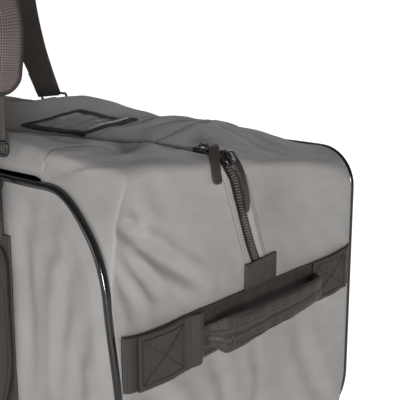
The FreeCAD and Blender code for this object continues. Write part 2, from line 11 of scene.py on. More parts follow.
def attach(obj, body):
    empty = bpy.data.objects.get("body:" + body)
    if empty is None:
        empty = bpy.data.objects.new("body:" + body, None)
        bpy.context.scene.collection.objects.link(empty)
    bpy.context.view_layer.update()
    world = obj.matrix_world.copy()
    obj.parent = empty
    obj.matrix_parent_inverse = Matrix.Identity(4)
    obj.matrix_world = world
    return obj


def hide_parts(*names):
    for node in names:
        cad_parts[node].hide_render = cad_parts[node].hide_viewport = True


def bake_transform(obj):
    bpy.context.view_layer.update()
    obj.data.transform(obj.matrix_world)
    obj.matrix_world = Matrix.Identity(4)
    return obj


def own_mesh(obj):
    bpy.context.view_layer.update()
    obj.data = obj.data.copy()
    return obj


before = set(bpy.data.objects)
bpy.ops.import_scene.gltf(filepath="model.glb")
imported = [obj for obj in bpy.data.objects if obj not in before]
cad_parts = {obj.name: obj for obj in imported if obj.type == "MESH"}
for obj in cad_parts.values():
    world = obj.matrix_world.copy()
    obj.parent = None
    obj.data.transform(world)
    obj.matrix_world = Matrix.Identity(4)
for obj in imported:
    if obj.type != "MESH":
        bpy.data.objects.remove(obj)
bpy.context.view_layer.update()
MM = 0.001

# ---- the bag's main sizes, as in the CAD model ----
END_X = 360.0             # outer face of the ends
SIDE_Y = 180.0            # outer face of the side panels
SEAM_Y = 173.0            # long seams of the top and the bottom
PANEL_TOP = 366.0
FRONT_CORNER = 100.0      # radius of a side panel's upper corners, front
BACK_CORNER = 45.0        # the full back corners stand squarer
FOOT_CORNER = 100.0
PIPING_R = 3.5
FLOOR_Z = 2.4
FLAP_HALF = 250.0         # half length of the part of the top that opens
GUSSET_X = 150.0          # from here the top bends between the fixed ends and the opening flap
ZIP_Y = -30.0
ZIP_Z = 388.0
CLOTH_T = 2.0
WEB_T = 2.4               # webbing and the room it takes
WEB_SOLID = 2.2           # webbing as drawn
WEB_HALF = 25.0
HAUL_X = 183.0
HAUL_TOP = 310.0
HANDLE_Y = 184.0
RING_Y = 188.0
RING_Z = 371.0


# ------------------------------------------------------------------ building meshes
def finish_mesh(bm, name, material, body):
    """Turns a bmesh in millimetres into a piece that rides on a body."""
    bmesh.ops.scale(bm, vec=(MM, MM, MM), verts=bm.verts)
    mesh = bpy.data.meshes.new(name)
    bm.to_mesh(mesh)
    bm.free()
    mesh.shade_smooth()
    piece = bpy.data.objects.new(name, mesh)
    bpy.context.scene.collection.objects.link(piece)
    mesh.materials.append(material)
    if body:
        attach(piece, body)
    return piece


def sheet_mesh(nu, nv, place, uv_mm, close_u=False, close_v=False):
    """Grid whose corners, u and v from 0 to 1, are moved to place(u, v); its UV map is in millimetres."""
    bm = bmesh.new()
    bmesh.ops.create_grid(bm, x_segments=nu, y_segments=nv, size=0.5)
    u = np.array([vert.co.x for vert in bm.verts]) + 0.5
    v = np.array([vert.co.y for vert in bm.verts]) + 0.5
    layer = bm.loops.layers.uv.new("UVMap")
    for face in bm.faces:
        for loop in face.loops:
            i = loop.vert.index
            loop[layer].uv = (u[i] * uv_mm[0], v[i] * uv_mm[1])
    for vert, spot in zip(bm.verts, place(u, v)):
        vert.co = spot
    if close_u or close_v:
        bmesh.ops.remove_doubles(bm, verts=bm.verts, dist=0.01)
    return bm


def thicken(piece, thickness, offset=-1.0):
    """Gives a sheet its thickness, inwards unless the offset says otherwise."""
    solid = piece.modifiers.new("thickness", "SOLIDIFY")
    solid.thickness = thickness * MM
    solid.offset = offset
    return piece


def soften(piece, width):
    """Rounds a piece's edges over."""
    bevel = piece.modifiers.new("edge", "BEVEL")
    bevel.width = width * MM
    bevel.segments = 2
    bevel.limit_method = "ANGLE"
    return piece


def smooth_through(at, xs, ys):
    """Smooth curve through the points, without overshoot."""
    xs, ys = np.asarray(xs, float), np.asarray(ys, float)
    step = np.diff(xs)
    slope = np.diff(ys) / step
    tangent = np.zeros(len(xs))
    same = slope[:-1] * slope[1:] > 0
    middle = 2 * slope[:-1] * slope[1:] / np.where(same, slope[:-1] + slope[1:], 1)
    tangent[1:-1] = np.where(same, middle, 0)
    tangent[0], tangent[-1] = slope[0], slope[-1]
    at = np.clip(np.asarray(at, float), xs[0], xs[-1])
    k = np.clip(np.searchsorted(xs, at) - 1, 0, len(step) - 1)
    t = (at - xs[k]) / step[k]
    return (ys[k] * (1 + 2 * t) * (1 - t) ** 2 + ys[k + 1] * t * t * (3 - 2 * t)
            + step[k] * (tangent[k] * t * (1 - t) ** 2 - tangent[k + 1] * t * t * (1 - t)))


def ease(t):
    t = np.clip(t, 0, 1)
    return t * t * (3 - 2 * t)


def bump(distance, width):
    return np.exp(-(distance / width) ** 2)


def boxy(value, power):
    """A sine or cosine flattened towards its ends, for the outline of a flat bar."""
    return np.sign(value) * np.abs(value) ** power


def run_along(points):
    """How far along a line of places each of them is."""
    return np.concatenate([[0], np.cumsum(np.linalg.norm(np.diff(points, axis=0), axis=1))])


def round_end(near, r):
    """How much narrower a flat piece is, this near its end, where the end is rounded to radius r."""
    return np.where(near < r, r - np.sqrt(np.maximum(r * r - (r - near) ** 2, 0)), 0)


def along_line(spots, points):
    """Distance of each spot from a bent line, and how far along it the nearest place is, 0 to 1."""
    points = np.asarray(points, float)
    best = np.full(len(spots), 1e9)
    share = np.zeros(len(spots))
    lengths = np.linalg.norm(np.diff(points, axis=0), axis=1)
    total, done = lengths.sum(), 0.0
    for a, b, length in zip(points[:-1], points[1:], lengths):
        t = np.clip((spots - a) @ (b - a) / length ** 2, 0, 1)
        away = np.linalg.norm(spots - (a + t[:, None] * (b - a)), axis=1)
        nearer = away < best
        best = np.where(nearer, away, best)
        share = np.where(nearer, (done + t * length) / total, share)
        done += length
    return best, share


def folds(spots, lines):
    """Height of the folds at each spot. A fold is its line, its half width, its height and, where it is
    a tuck, the height of the lips beside it."""
    height = np.zeros(len(spots))
    for points, width, rise, lips in lines:
        away, share = along_line(spots, points)
        fade = np.sin(math.pi * np.clip(share, 0.02, 0.98)) ** 0.6
        height += fade * rise * bump(away, width)
        height += fade * lips * bump(away - 1.9 * width, 0.9 * width)
    return height


# ------------------------------------------------------------------ shape of the soft shell
ROW_STEP = 62.5           # spacing of the rows below along the bag
TOP_Y = [-173, -171, -168, -164.5, -160, -152, -122, -80, -52, -38, -30,
         -22, -8, 15, 45, 70, 95, 120, 145, 160, 169, 173]
# Heights at those places, from the bag's middle out to the flap's edge.
TOP_ROWS = [
    [367, 377, 386, 394, 399, 401, 394, 382, 376, 374, 373,
     376, 382, 391, 402, 409, 409, 403, 393, 385, 377, 367],
    [367, 377, 386, 394, 399, 401, 395, 384, 378.5, 376.5, 375.5,
     378, 383, 390, 399, 403, 400, 395, 387, 380, 374, 367],
    [367, 377, 386, 395, 400, 402, 397, 388, 383, 381, 380,
     382, 386, 391, 396, 397, 393, 389, 384, 379, 374, 367],
    [367, 377, 387, 396, 401, 402, 398, 391, 386, 384, 383.5,
     385, 388, 392, 398, 400, 397, 392, 386, 379, 374, 367],
    [367, 377, 386, 392, 395, 396, 394, 390, 388, 387.5, 387,
     387.5, 391, 397, 402, 401, 395, 388, 382, 377, 373, 367],
]


def top_height(x, y):
    """Outer surface of the top over the flaps, smoothly through the rows."""
    rows = np.array([smooth_through(y, TOP_Y, row) for row in TOP_ROWS])
    at = np.clip(np.abs(x), 0, FLAP_HALF) / ROW_STEP
    first = np.minimum(at.astype(int), len(rows) - 2)
    t = at - first
    near_rows = [np.clip(np.abs(first + k), 0, len(rows) - 1)[None] for k in (-1, 0, 1, 2)]
    before, low, high, after = [np.take_along_axis(rows, k, axis=0)[0] for k in near_rows]
    bend = 2 * before - 5 * low + 4 * high - after + t * (3 * (low - high) + after - before)
    return low + 0.5 * t * (high - before + t * bend)


# The end band by place across the bag: its top, the radii at its top and foot, and how far it is drawn in.
BAND_Y = [-173, -169, -165, -158, -148, -123, -94, -70, -45, -30, -15, 5, 40, 90, 130, 152, 165, 173]
BAND_TOP = [368.7, 378, 385, 388, 389, 389.5, 387, 385, 384.5, 387, 384, 379, 374, 367.5, 362.5, 362, 365, 368.7]
BAND_TURN = [100, 80, 57, 33, 17, 11, 10, 11, 16, 24, 17, 10, 9, 10, 14, 22, 34, 45]
BAND_FOOT = [100, 92, 84, 70, 62, 60, 60, 60, 60, 60, 60, 60, 60, 60, 60, 62, 80, 100]
BAND_IN = [0.8, 0.4, 0.2, 0, 0, 0, 0, 0, 0, 0, 0, 0, 0, 0, 0, 0, 0.2, 0.8]


def end_lean(y, z):
    """How far the soft end is drawn in from its flat plane."""
    front = ease((20 - y) / 190)
    high = ease((z - 150) / 150)
    return front * (1 + 16 * high) - 8 * ease((y - 60) / 110) * ease(z / 60)


def band_point(s, y):
    """Outer surface of the end band: s runs from the flap's edge over the top and down to the bottom."""
    top = smooth_through(y, BAND_Y, BAND_TOP)
    turn = smooth_through(y, BAND_Y, BAND_TURN)
    foot = smooth_through(y, BAND_Y, BAND_FOOT)
    inset = smooth_through(y, BAND_Y, BAND_IN)
    start = top_height(np.full_like(y, FLAP_HALF), y)
    end = END_X - inset
    low = FLOOR_Z + inset
    cuts = (0.18, 0.28, 0.78, 0.90)  # where s leaves the top, its turn, the face and the foot's turn
    t = np.clip(s / cuts[0], 0, 1)
    run = end - turn - FLAP_HALF
    x0, z0 = FLAP_HALF + t * run, start + (top - start) * ease(t)
    a = np.clip((s - cuts[0]) / (cuts[1] - cuts[0]), 0, 1) * math.pi / 2
    x1, z1 = end - turn + turn * np.sin(a), top - turn + turn * np.cos(a)
    t = np.clip((s - cuts[1]) / (cuts[2] - cuts[1]), 0, 1)
    x2, z2 = end, (top - turn) * (1 - t) + (low + foot) * t
    a = np.clip((s - cuts[2]) / (cuts[3] - cuts[2]), 0, 1) * math.pi / 2
    x3, z3 = end - foot + foot * np.cos(a), low + foot - foot * np.sin(a)
    t = np.clip((s - cuts[3]) / (1 - cuts[3]), 0, 1)
    x4, z4 = (end - foot) * (1 - t) + FLAP_HALF * t, low + 0 * t
    parts = [s <= cut for cut in cuts]
    return np.select(parts, [x0, x1, x2, x3], x4), np.select(parts, [z0, z1, z2, z3], z4)


def drawn_in(x, y, z):
    """Moves a place on or near an end with the soft end."""
    side = np.sign(x)
    weight = ease((np.abs(x) - 262) / 75)
    return x - side * weight * end_lean(y, z)


def zip_centre_y(z):
    """Where the chain runs across the end, from its height."""
    heights = [240, 254, 270, 296, 324, 340, 361, 376, 392]
    return smooth_through(z, heights, [20, 17, 12, 1, -9, -14, -21, -28, -30])


ZIP_SLANT = 0.955         # distance square to the leaning chain for each unit along y

# Folds of the near end, by (y, z) on the end face; half width, height and lips in millimetres.
END_FOLDS = [
    ([(-161, 343), (-155, 335), (-147, 331), (-137, 333), (-131, 340)], 6, -4.0, 2.0),
    ([(-162, 332), (-150, 325), (-130, 312), (-100, 290), (-66, 264)], 7, -5.5, 3),
    ([(-162, 320), (-144, 298), (-118, 264)], 6, -3.5, 2),
    ([(-140, 374), (-128, 350), (-112, 330)], 11, 2.2, -1),
    ([(-166, 300), (-150, 270), (-146, 246)], 8, -3, 1.6),
    ([(-60, 198), (-40, 160), (-30, 110), (-34, 60)], 10, -3, 1.6),
    ([(-10, 196), (0, 150), (-8, 96)], 9, 2.5, -1),
    ([(80, 196), (96, 150), (120, 100), (150, 70)], 11, -3.5, 1.6),
    ([(-166, 190), (-130, 170), (-100, 130), (-90, 80)], 11, -3, 1.5),
    ([(20, 60), (60, 40), (120, 44)], 10, 2.5, 0),
]
# Broad hollows of the ends, by y and z of the middle, half widths and depth.
END_DENTS = [(-128, 352, 26, 14, 3), (-96, 300, 30, 20, 3), (84, 330, 40, 30, 2.5)]
# Folds of the top beside the end, by (x, y).
TOP_FOLDS = [
    ([(280, -106), (252, -74), (224, -52), (204, -38)], 15, -9, 2.5),
    ([(272, -52), (296, -62), (326, -84)], 12, 3.5, 0),
    ([(236, 66), (270, 78), (310, 90), (346, 98)], 9, 4.0, -2),
    ([(262, -20), (266, 30), (280, 60)], 12, 2.0, -1),
    ([(150, -140), (190, -120), (226, -112)], 10, -2.2, 1.2),
    ([(176, 26), (196, 48), (214, 78)], 9, 3.2, -2.0),
    ([(150, 12), (172, 38), (190, 70)], 8, -2.5, 1.2),
    ([(-160, -120), (-90, -96), (-20, -112), (60, -100)], 14, -2.5, 1.0),
    ([(-220, 40), (-150, 82), (-60, 60)], 16, -3, 1.0),
]


def noise_field(spots, scale, seed):
    """Slow waves with no repeat that shows, from -1 to 1."""
    total = np.zeros(len(spots))
    rng = np.random.default_rng(seed)
    waves = 9
    for k in range(waves):
        way = rng.normal(size=3)
        way *= (0.7 + 0.16 * k) / (scale * np.linalg.norm(way))
        total += np.sin(spots @ way * 2 * math.pi + rng.uniform(0, 2 * math.pi))
    return total / (waves / 2)


def zip_tuck(distance):
    """Fabric beside the chain: turned down to the tape, with a folded lip."""
    away = np.abs(distance)
    return -2.8 * np.exp(-(away / 7.6) ** 8) + 0.9 * bump(away - 10.0, 2.0)


# ------------------------------------------------------------------ materials
def colour(code):
    """Linear colour from sRGB hex."""
    parts = [int(code[i:i + 2], 16) / 255 for i in (1, 3, 5)]
    return tuple(c / 12.92 if c <= 0.04045 else ((c + 0.055) / 1.055) ** 2.4 for c in parts) + (1.0,)


def add(material, kind, links=None, **settings):
    """One node: settings are its properties, links its inputs, each a value or (node, output)."""
    node = material.node_tree.nodes.new(kind)
    for key, value in settings.items():
        setattr(node, key, value)
    for key, value in (links or {}).items():
        if isinstance(value, tuple) and isinstance(value[0], bpy.types.Node):
            material.node_tree.links.new(value[0].outputs[value[1]], node.inputs[key])
        else:
            node.inputs[key].default_value = value
    return node


def new_material(name, base, roughness, **shader):
    """A material and its Principled shader; further settings go on the shader's own sockets."""
    material = bpy.data.materials.new(name)
    material.use_nodes = True
    principled = material.node_tree.nodes["Principled BSDF"]
    principled.inputs["Base Color"].default_value = colour(base)
    principled.inputs["Roughness"].default_value = roughness
    for key, value in shader.items():
        principled.inputs[key.replace("_", " ")].default_value = value
    return material, principled


def wire(material, source, output, target, socket):
    material.node_tree.links.new(source.outputs[output], target.inputs[socket])


def mottled(material, principled, where, light, dark, size_mm):
    """Slow change of colour between two tones, as handling and dye leave it."""
    noise = add(material, "ShaderNodeTexNoise", {"Vector": where, "Scale": 1000 / size_mm, "Detail": 3.0})
    ramp = add(material, "ShaderNodeValToRGB", {"Fac": (noise, "Fac")})
    ramp.color_ramp.elements[0].position = 0.32
    ramp.color_ramp.elements[1].position = 0.68
    ramp.color_ramp.elements[0].color = colour(dark)
    ramp.color_ramp.elements[1].color = colour(light)
    wire(material, ramp, "Color", principled, "Base Color")


def roughened(material, principled, height, strength, depth):
    """Bump from a height, given as (node, output), on the shader's normal."""
    bump_node = add(material, "ShaderNodeBump", {"Height": height, "Strength": strength, "Distance": depth})
    wire(material, bump_node, "Normal", principled, "Normal")


def coated_fabric():
    # Polyester cloth with a calendered soft PVC face: dull and a little waxy, with a fine pressed grain
    # and small crumples where it has been handled. Its grain is drawn 2.2 mm wide, coarser than real, to show.
    material, shader = new_material("pvc_coated_polyester", "#9b9896", 0.55, Sheen_Weight=0.1,
                                    Sheen_Roughness=0.4)
    place = add(material, "ShaderNodeTexCoord")
    where = (place, "Object")
    mottled(material, shader, where, "#9f9c9a", "#94918f", 70)
    grain = add(material, "ShaderNodeTexVoronoi", {"Vector": where, "Scale": 1000 / 2.2})
    crumple = add(material, "ShaderNodeTexNoise", {"Vector": where, "Scale": 1000 / 26, "Detail": 4.0,
                                                   "Roughness": 0.55})
    fine = add(material, "ShaderNodeBump", {"Height": (grain, "Distance"), "Strength": 0.12,
                                            "Distance": 0.25 * MM})
    both = add(material, "ShaderNodeBump", {"Height": (crumple, "Fac"), "Strength": 0.35, "Distance": 2.2 * MM,
                                            "Normal": (fine, "Normal")})
    wire(material, both, "Normal", shader, "Normal")
    # Rubbed places shine more than the hollows between them.
    worn = add(material, "ShaderNodeMapRange", {"Value": (crumple, "Fac"), "To Min": 0.5, "To Max": 0.66})
    wire(material, worn, "Result", shader, "Roughness")
    return material


WAVE_TURN = 0.314         # scale of a wave texture whose bands repeat every unit


def webbing_material(name, light, dark, weave_mm):
    # Woven polypropylene tape: a grid of raised yarns with dark pits between, a slight plastic shine.
    # The yarns are about 1.2 mm apart in the real tape, and are drawn nearly twice as coarse, to show.
    material, shader = new_material(name, light, 0.55, Sheen_Weight=0.15, Sheen_Roughness=0.35)
    place = add(material, "ShaderNodeTexCoord")
    where = (place, "UV")
    ribs, picks = [add(material, "ShaderNodeTexWave", {"Vector": where, "Scale": WAVE_TURN / weave_mm,
                                                       "Distortion": 0.3, "Detail": 1.0},
                       bands_direction=direction) for direction in ("X", "Y")]
    weave = add(material, "ShaderNodeMath", {0: (ribs, "Fac"), 1: (picks, "Fac")}, operation="MULTIPLY")
    ramp = add(material, "ShaderNodeValToRGB", {"Fac": (weave, 0)})
    ramp.color_ramp.elements[0].color = colour(dark)
    ramp.color_ramp.elements[1].color = colour(light)
    ramp.color_ramp.elements[1].position = 0.45
    wire(material, ramp, "Color", shader, "Base Color")
    roughened(material, shader, (weave, 0), 0.6, 0.5 * MM)
    return material


def grained(name, base, other, roughness, grain_mm, depth_mm, **shader_values):
    """A plastic, paint or coated cloth with a small grain."""
    material, shader = new_material(name, base, roughness, **shader_values)
    place = add(material, "ShaderNodeTexCoord")
    mottled(material, shader, (place, "Object"), base, other, grain_mm * 6)
    noise = add(material, "ShaderNodeTexNoise", {"Vector": (place, "Object"), "Scale": 1000 / grain_mm,
                                                 "Detail": 3.0})
    roughened(material, shader, (noise, "Fac"), 0.4, depth_mm * MM)
    return material


def clear_film():
    # Soft clear PVC sheet: bright reflections over a faint haze and the cloth below it.
    material, shader = new_material("clear_pvc_film", "#c9c8c4", 0.12, Alpha=0.42, IOR=1.53)
    place = add(material, "ShaderNodeTexCoord")
    noise = add(material, "ShaderNodeTexNoise", {"Vector": (place, "Object"), "Scale": 1000 / 30, "Detail": 2.0})
    roughened(material, shader, (noise, "Fac"), 0.6, 2.5 * MM)
    return material


FABRIC = coated_fabric()
# Tape of the ends and sides, the handles' darker tape, and the pad's paler cover with its heavier yarns.
WEBBING = webbing_material("polypropylene_webbing", "#4a423d", "#26211e", 2.1)
HANDLE_WEBBING = webbing_material("polypropylene_handle_webbing", "#38322f", "#1f1b1a", 2.1)
PAD = webbing_material("woven_pad_cover", "#6f625e", "#3d3532", 2.2)
# Extruded PVC over a cord: nearly black, with a thin sharp line of light along its crown.
PIPING = grained("gloss_pvc_piping", "#100f0f", "#171616", 0.14, 6.0, 0.08, Coat_Weight=0.3, Coat_Roughness=0.15)
# Woven polyester without shine beside the teeth: its own dark grey painted down to near black with the shade that
# falls beside the chain.
TAPE_PAINTED_SHADE = grained("woven_zip_tape_painted_shade", "#1f1c1b", "#171514", 0.75, 1.4, 0.2)
# Injection-moulded acetal: its own dark colour painted up to a lighter grey as a painted highlight, besides the
# broad soft highlight its gloss gives every tooth.
TEETH_PAINTED_HIGHLIGHT = grained("moulded_acetal_teeth_painted_highlight", "#6c6663", "#57524f", 0.38, 3.0, 0.05)
# Die-cast zinc under stoved black paint: small bright glints on rounded edges.
SLIDER = grained("gloss_black_painted_zinc", "#1a1817", "#141312", 0.22, 4.0, 0.03,
                 Coat_Weight=0.6, Coat_Roughness=0.1)
# Coated cloth folded and sewn, browner and darker than the shell. The pull tabs are a smoother copy of it,
# painted darker with the shade that falls on them.
TRIM = grained("coated_trim_cloth", "#463d3c", "#3f3736", 0.62, 1.6, 0.2)
TAB_PAINTED_SHADE = grained("coated_pull_tab_painted_shade", "#3c3231", "#332b2a", 0.5, 1.6, 0.2)
# Narrow ribbed tape folded over an edge: dull and dark.
BINDING = grained("woven_binding_tape", "#2d2725", "#1f1b1a", 0.7, 1.4, 0.2)
# Moulded acetal, satin from the tool, for rings and snap hooks.
HARDWARE = grained("moulded_acetal_hardware", "#151516", "#1e1e20", 0.3, 4.0, 0.04)
# Pressed wood fibre: brown, matt and faintly mottled.
BOARD = grained("hardboard_stiffener", "#4a3f35", "#3c332b", 0.8, 2.0, 0.1)
# Bonded polyester thread: matt, a shade darker than the webbing, or grey on the shell.
THREAD = grained("polyester_thread", "#37322f", "#2c2826", 0.7, 1.0, 0.1)
SEAM_THREAD = grained("grey_polyester_thread", "#716e6c", "#666361", 0.7, 1.0, 0.1)
FILM = clear_film()


# ------------------------------------------------------------------ camera, light and floor
def set_camera():
    """Long lens off the near front corner, a little above the bag's top."""
    data = bpy.data.cameras.new("camera")
    camera = bpy.data.objects.new("camera", data)
    bpy.context.scene.collection.objects.link(camera)
    data.sensor_width = 36.0
    data.lens = 76.5
    data.clip_end = 100
    camera.location = (0.872, -0.645, 0.525)
    look = Vector((-0.652, 0.7246, -0.2215))
    camera.rotation_euler = look.to_track_quat("-Z", "Y").to_euler()
    bpy.context.scene.camera = camera


def soft_light(name, place, size, power, aim=(0, 0, 0.2)):
    """Rectangular lamp, its size in metres and its power in watts, turned to its aim."""
    data = bpy.data.lights.new(name, "AREA")
    data.shape = "RECTANGLE"
    data.size, data.size_y = size
    data.energy = power
    lamp = bpy.data.objects.new(name, data)
    lamp.location = place
    lamp.rotation_euler = (Vector(aim) - Vector(place)).to_track_quat("-Z", "Y").to_euler()
    bpy.context.scene.collection.objects.link(lamp)


def set_stage():
    """Low key beside the camera, weak fills, a white surround and a pale floor."""
    soft_light("key", (2.7, -2.1, 0.55), (0.6, 0.5), 66, aim=(0.1, 0, 0.24))
    soft_light("front_fill", (-0.3, -3.0, 0.55), (1.4, 0.9), 11, aim=(0, 0, 0.2))
    soft_light("overhead", (-1.2, 1.4, 2.4), (1.0, 1.0), 5)
    soft_light("back_rim", (-1.6, 2.8, 1.5), (1.0, 0.7), 6, aim=(0.1, 0, 0.35))
    world = bpy.data.worlds.new("studio")
    bpy.context.scene.world = world
    world.use_nodes = True
    tree = world.node_tree
    background = tree.nodes["Background"]
    background.inputs["Color"].default_value = (1, 1, 1, 1)
    # The surround shows white and lights the bag weakly.
    path = tree.nodes.new("ShaderNodeLightPath")
    level = tree.nodes.new("ShaderNodeMapRange")
    level.inputs["To Min"].default_value = 0.12
    level.inputs["To Max"].default_value = 1.05
    tree.links.new(path.outputs["Is Camera Ray"], level.inputs["Value"])
    tree.links.new(level.outputs["Result"], background.inputs["Strength"])
    bm = bmesh.new()
    bmesh.ops.create_grid(bm, x_segments=2, y_segments=2, size=30)
    mesh = bpy.data.meshes.new("floor")
    bm.to_mesh(mesh)
    bm.free()
    floor = bpy.data.objects.new("floor", mesh)
    bpy.context.scene.collection.objects.link(floor)
    floor.location.z = -0.0005
    # Matt paper that reads as white paper, and throws less light up at the bag than it shows.
    paper, shader = new_material("pale_studio_paper", "#f4f4f3", 0.9, Emission_Color=(1, 1, 1, 1))
    seen = add(paper, "ShaderNodeLightPath")
    glow = add(paper, "ShaderNodeMapRange", {"Value": (seen, "Is Camera Ray"), "To Min": 0.36, "To Max": 0.97})
    wire(paper, glow, "Result", shader, "Emission Strength")
    mesh.materials.append(paper)
    bpy.context.scene.view_settings.view_transform = "Standard"


set_camera()
set_stage()


# ------------------------------------------------------------------ skins
def stack(x, y, z):
    x, y, z = np.broadcast_arrays(x, y, z)
    return np.column_stack([x, y, z]).astype(float)


def spread_y(v):
    """Rows across an end, closer together beside the zip."""
    return smooth_through(v, [0, 0.13, 0.36, 0.72, 0.90, 1], [-SEAM_Y, -146, -58, 44, 146, SEAM_Y])


def top_relief(x, y):
    """Folds, waves and the zip's tuck on the top."""
    spots = stack(x, y, 0)
    rise = folds(spots[:, :2], TOP_FOLDS)
    rise += 1.5 * noise_field(spots, 95, 3) + 0.5 * noise_field(spots, 31, 4)
    calm = 1 - 0.8 * bump(y - ZIP_Y, 16)
    edge = ease((SEAM_Y - np.abs(y)) / 14)
    return rise * calm * edge + zip_tuck(y - ZIP_Y)


def end_relief(y, z, lines, seed):
    """Folds, waves and the zip's tuck on an end."""
    spots = stack(0, y, z)
    rise = folds(spots[:, 1:], lines)
    for at_y, at_z, half_y, half_z, deep in END_DENTS:
        rise -= deep * np.exp(-((y - at_y) / half_y) ** 2 - ((z - at_z) / half_z) ** 2)
    rise += 1.8 * noise_field(spots, 120, seed) + 0.6 * noise_field(spots, 36, seed + 1)
    away = (y - zip_centre_y(z)) * ZIP_SLANT
    zipped = ease((z - 246) / 14)
    calm = 1 - 0.8 * zipped * bump(away, 18)
    edge = ease((SEAM_Y - np.abs(y)) / 12)
    return rise * calm * edge + zipped * zip_tuck(away)


def corner_hollow(y, z):
    """Depth of the hollow at the slack upper front corner, between its ridge and the piping."""
    ridge = -153.0 - 0.16 * (380 - z)
    return 8.0 * ease((ridge - y) / 11) * ease((173.5 + y) / 10) * ease((z - 334) / 34) * ease((393 - z) / 12)


def end_surface(s, y, side, lines, seed):
    """Outer surface of one soft end, s from the flap's edge down to the bottom."""
    def bare(s, y):
        x, z = band_point(s, y)
        return stack(x, y, z)

    spots = bare(s, y)
    along = bare(np.clip(s + 0.004, 0, 1), y) - bare(np.clip(s - 0.004, 0, 1), y)
    across = bare(s, np.clip(y + 0.6, -SEAM_Y, SEAM_Y)) - bare(s, np.clip(y - 0.6, -SEAM_Y, SEAM_Y))
    normal = np.cross(along, across)
    normal /= np.maximum(np.linalg.norm(normal, axis=1), 1e-9)[:, None]
    over = ease((s - 0.10) / 0.14)
    way = (1 - over)[:, None] * np.array([0, 0, 1.0]) + over[:, None] * normal
    way /= np.linalg.norm(way, axis=1)[:, None]
    height = (1 - over) * top_relief(side * spots[:, 0], y) + over * end_relief(y, spots[:, 2], lines, seed)
    height *= 1 - ease((s - 0.80) / 0.10)
    sunk = corner_hollow(y, spots[:, 2]) * (1.0 if side > 0 else 0.6)
    spots = spots + way * height[:, None] + sunk[:, None] * np.array([-0.85, 0.2, -0.4])
    spots[:, 0] = drawn_in(spots[:, 0], spots[:, 1], spots[:, 2])
    return spots


def end_face_x(y, z, lines, seed):
    """How far out the end's flat part stands at a height, for what is sewn on it."""
    inset = smooth_through(y, BAND_Y, BAND_IN)
    return END_X - inset - end_lean(y, z) + end_relief(y, z, lines, seed)


def to_side(bm, side):
    """Turns a piece built on the near end over to the far end where side is below 0."""
    if side < 0:
        bmesh.ops.scale(bm, vec=(-1, 1, 1), verts=bm.verts)
        bmesh.ops.reverse_faces(bm, faces=bm.faces)


def end_skin(name, side, lines, seed):
    """Soft skin of one end, from the flap's edge over the top and down in under the bag."""
    bm = sheet_mesh(190, 150, lambda u, v: end_surface(u, spread_y(v), side, lines, seed), (540, 346))
    to_side(bm, side)
    skin = finish_mesh(bm, name + "_end_skin", FABRIC, "bag")
    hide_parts(name + "_end_band")
    return thicken(skin, 2.2)


FAR_FOLDS = [([(-y, z) for y, z in points], width, -0.8 * rise, -0.8 * lips)
             for points, width, rise, lips in END_FOLDS[3:]]
# Both ends: name, side, folds and the seed of their waves.
ENDS = (("near", 1, END_FOLDS, 5), ("far", -1, FAR_FOLDS, 11))
for end in ENDS:
    end_skin(*end)


def flap_sheet(name, sign, x0, x1, cells, body):
    """Part of a top flap, from its seam to the lip beside the zip, between two places along the bag."""
    lip_gap = 4.6
    seam, lip = sign * (SEAM_Y - 1.0), ZIP_Y + sign * lip_gap
    low, high = sorted([seam, lip])

    def place(u, v):
        x, y = x0 + (x1 - x0) * u, low + (high - low) * v
        tucked = 1.8 * ease((np.abs(x) - FLAP_HALF + 9) / 7)
        return stack(x, y, top_height(x, y) + top_relief(x, y) - tucked)

    bm = sheet_mesh(cells, 62, place, (x1 - x0, high - low))
    flap = finish_mesh(bm, name, FABRIC, body)
    return thicken(flap, CLOTH_T)


def bend_with_flap(piece):
    """Bakes a piece's placement into its mesh; it rides on no body."""
    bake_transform(piece)


for word, sign in (("front", -1), ("back", 1)):
    middle = flap_sheet(word + "_flap_skin", sign, -GUSSET_X, GUSSET_X, 90, word + "_flap")
    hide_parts(word + "_top_flap")
    for way, x0, x1 in (("near", GUSSET_X, FLAP_HALF), ("far", -FLAP_HALF, -GUSSET_X)):
        gusset = flap_sheet(word + "_flap_" + way + "_gusset", sign, x0, x1, 32, None)
        bend_with_flap(gusset)


# Folds of the front and back panels, by (x, z).
FRONT_FOLDS = [
    ([(330, 300), (300, 296), (262, 318), (230, 330)], 9, -4, 2),
    ([(240, 352), (228, 310), (232, 240), (226, 150)], 9, -4, 2.5),
    ([(300, 330), (270, 260), (262, 180), (270, 110)], 11, 3.5, -1.5),
    ([(334, 250), (308, 210), (300, 150), (312, 90)], 10, -3.5, 2),
    ([(130, 350), (120, 300), (132, 240)], 12, -4, 1.5),
    ([(-100, 350), (-130, 280), (-120, 200)], 14, -4, 1.5),
    ([(-330, 300), (-280, 260), (-250, 180)], 14, -4, 2),
    ([(40, 60), (0, 110), (-60, 130)], 14, 3, -1),
]
BACK_FOLDS = [([(-x, z - 6) for x, z in points], width, rise, lips)
              for points, width, rise, lips in FRONT_FOLDS]
PANEL_IN = 7.1            # the side panels' cloth stops this far in from the corners' outline
PANEL_LOW, PANEL_HIGH = 9.5, PANEL_TOP - 3.6
PANEL_Y = 176.6           # the cloth where it meets the piping


def panel_out(x, z, lines, seed):
    """How far a side panel stands out of its flat plane."""
    spots = stack(x, 0, z)
    rise = folds(spots[:, [0, 2]], lines)
    rise += 2.0 * noise_field(spots, 150, seed) + 0.6 * noise_field(spots, 40, seed + 1)
    sag = 4.5 * bump(x, 170) * bump(z - 210, 110)
    held = np.maximum(bump(np.abs(x) - HAUL_X, 40), bump(z - 98, 46) * bump(x, 140))
    return (rise - sag) * (1 - 0.75 * held) - 0.6 * held


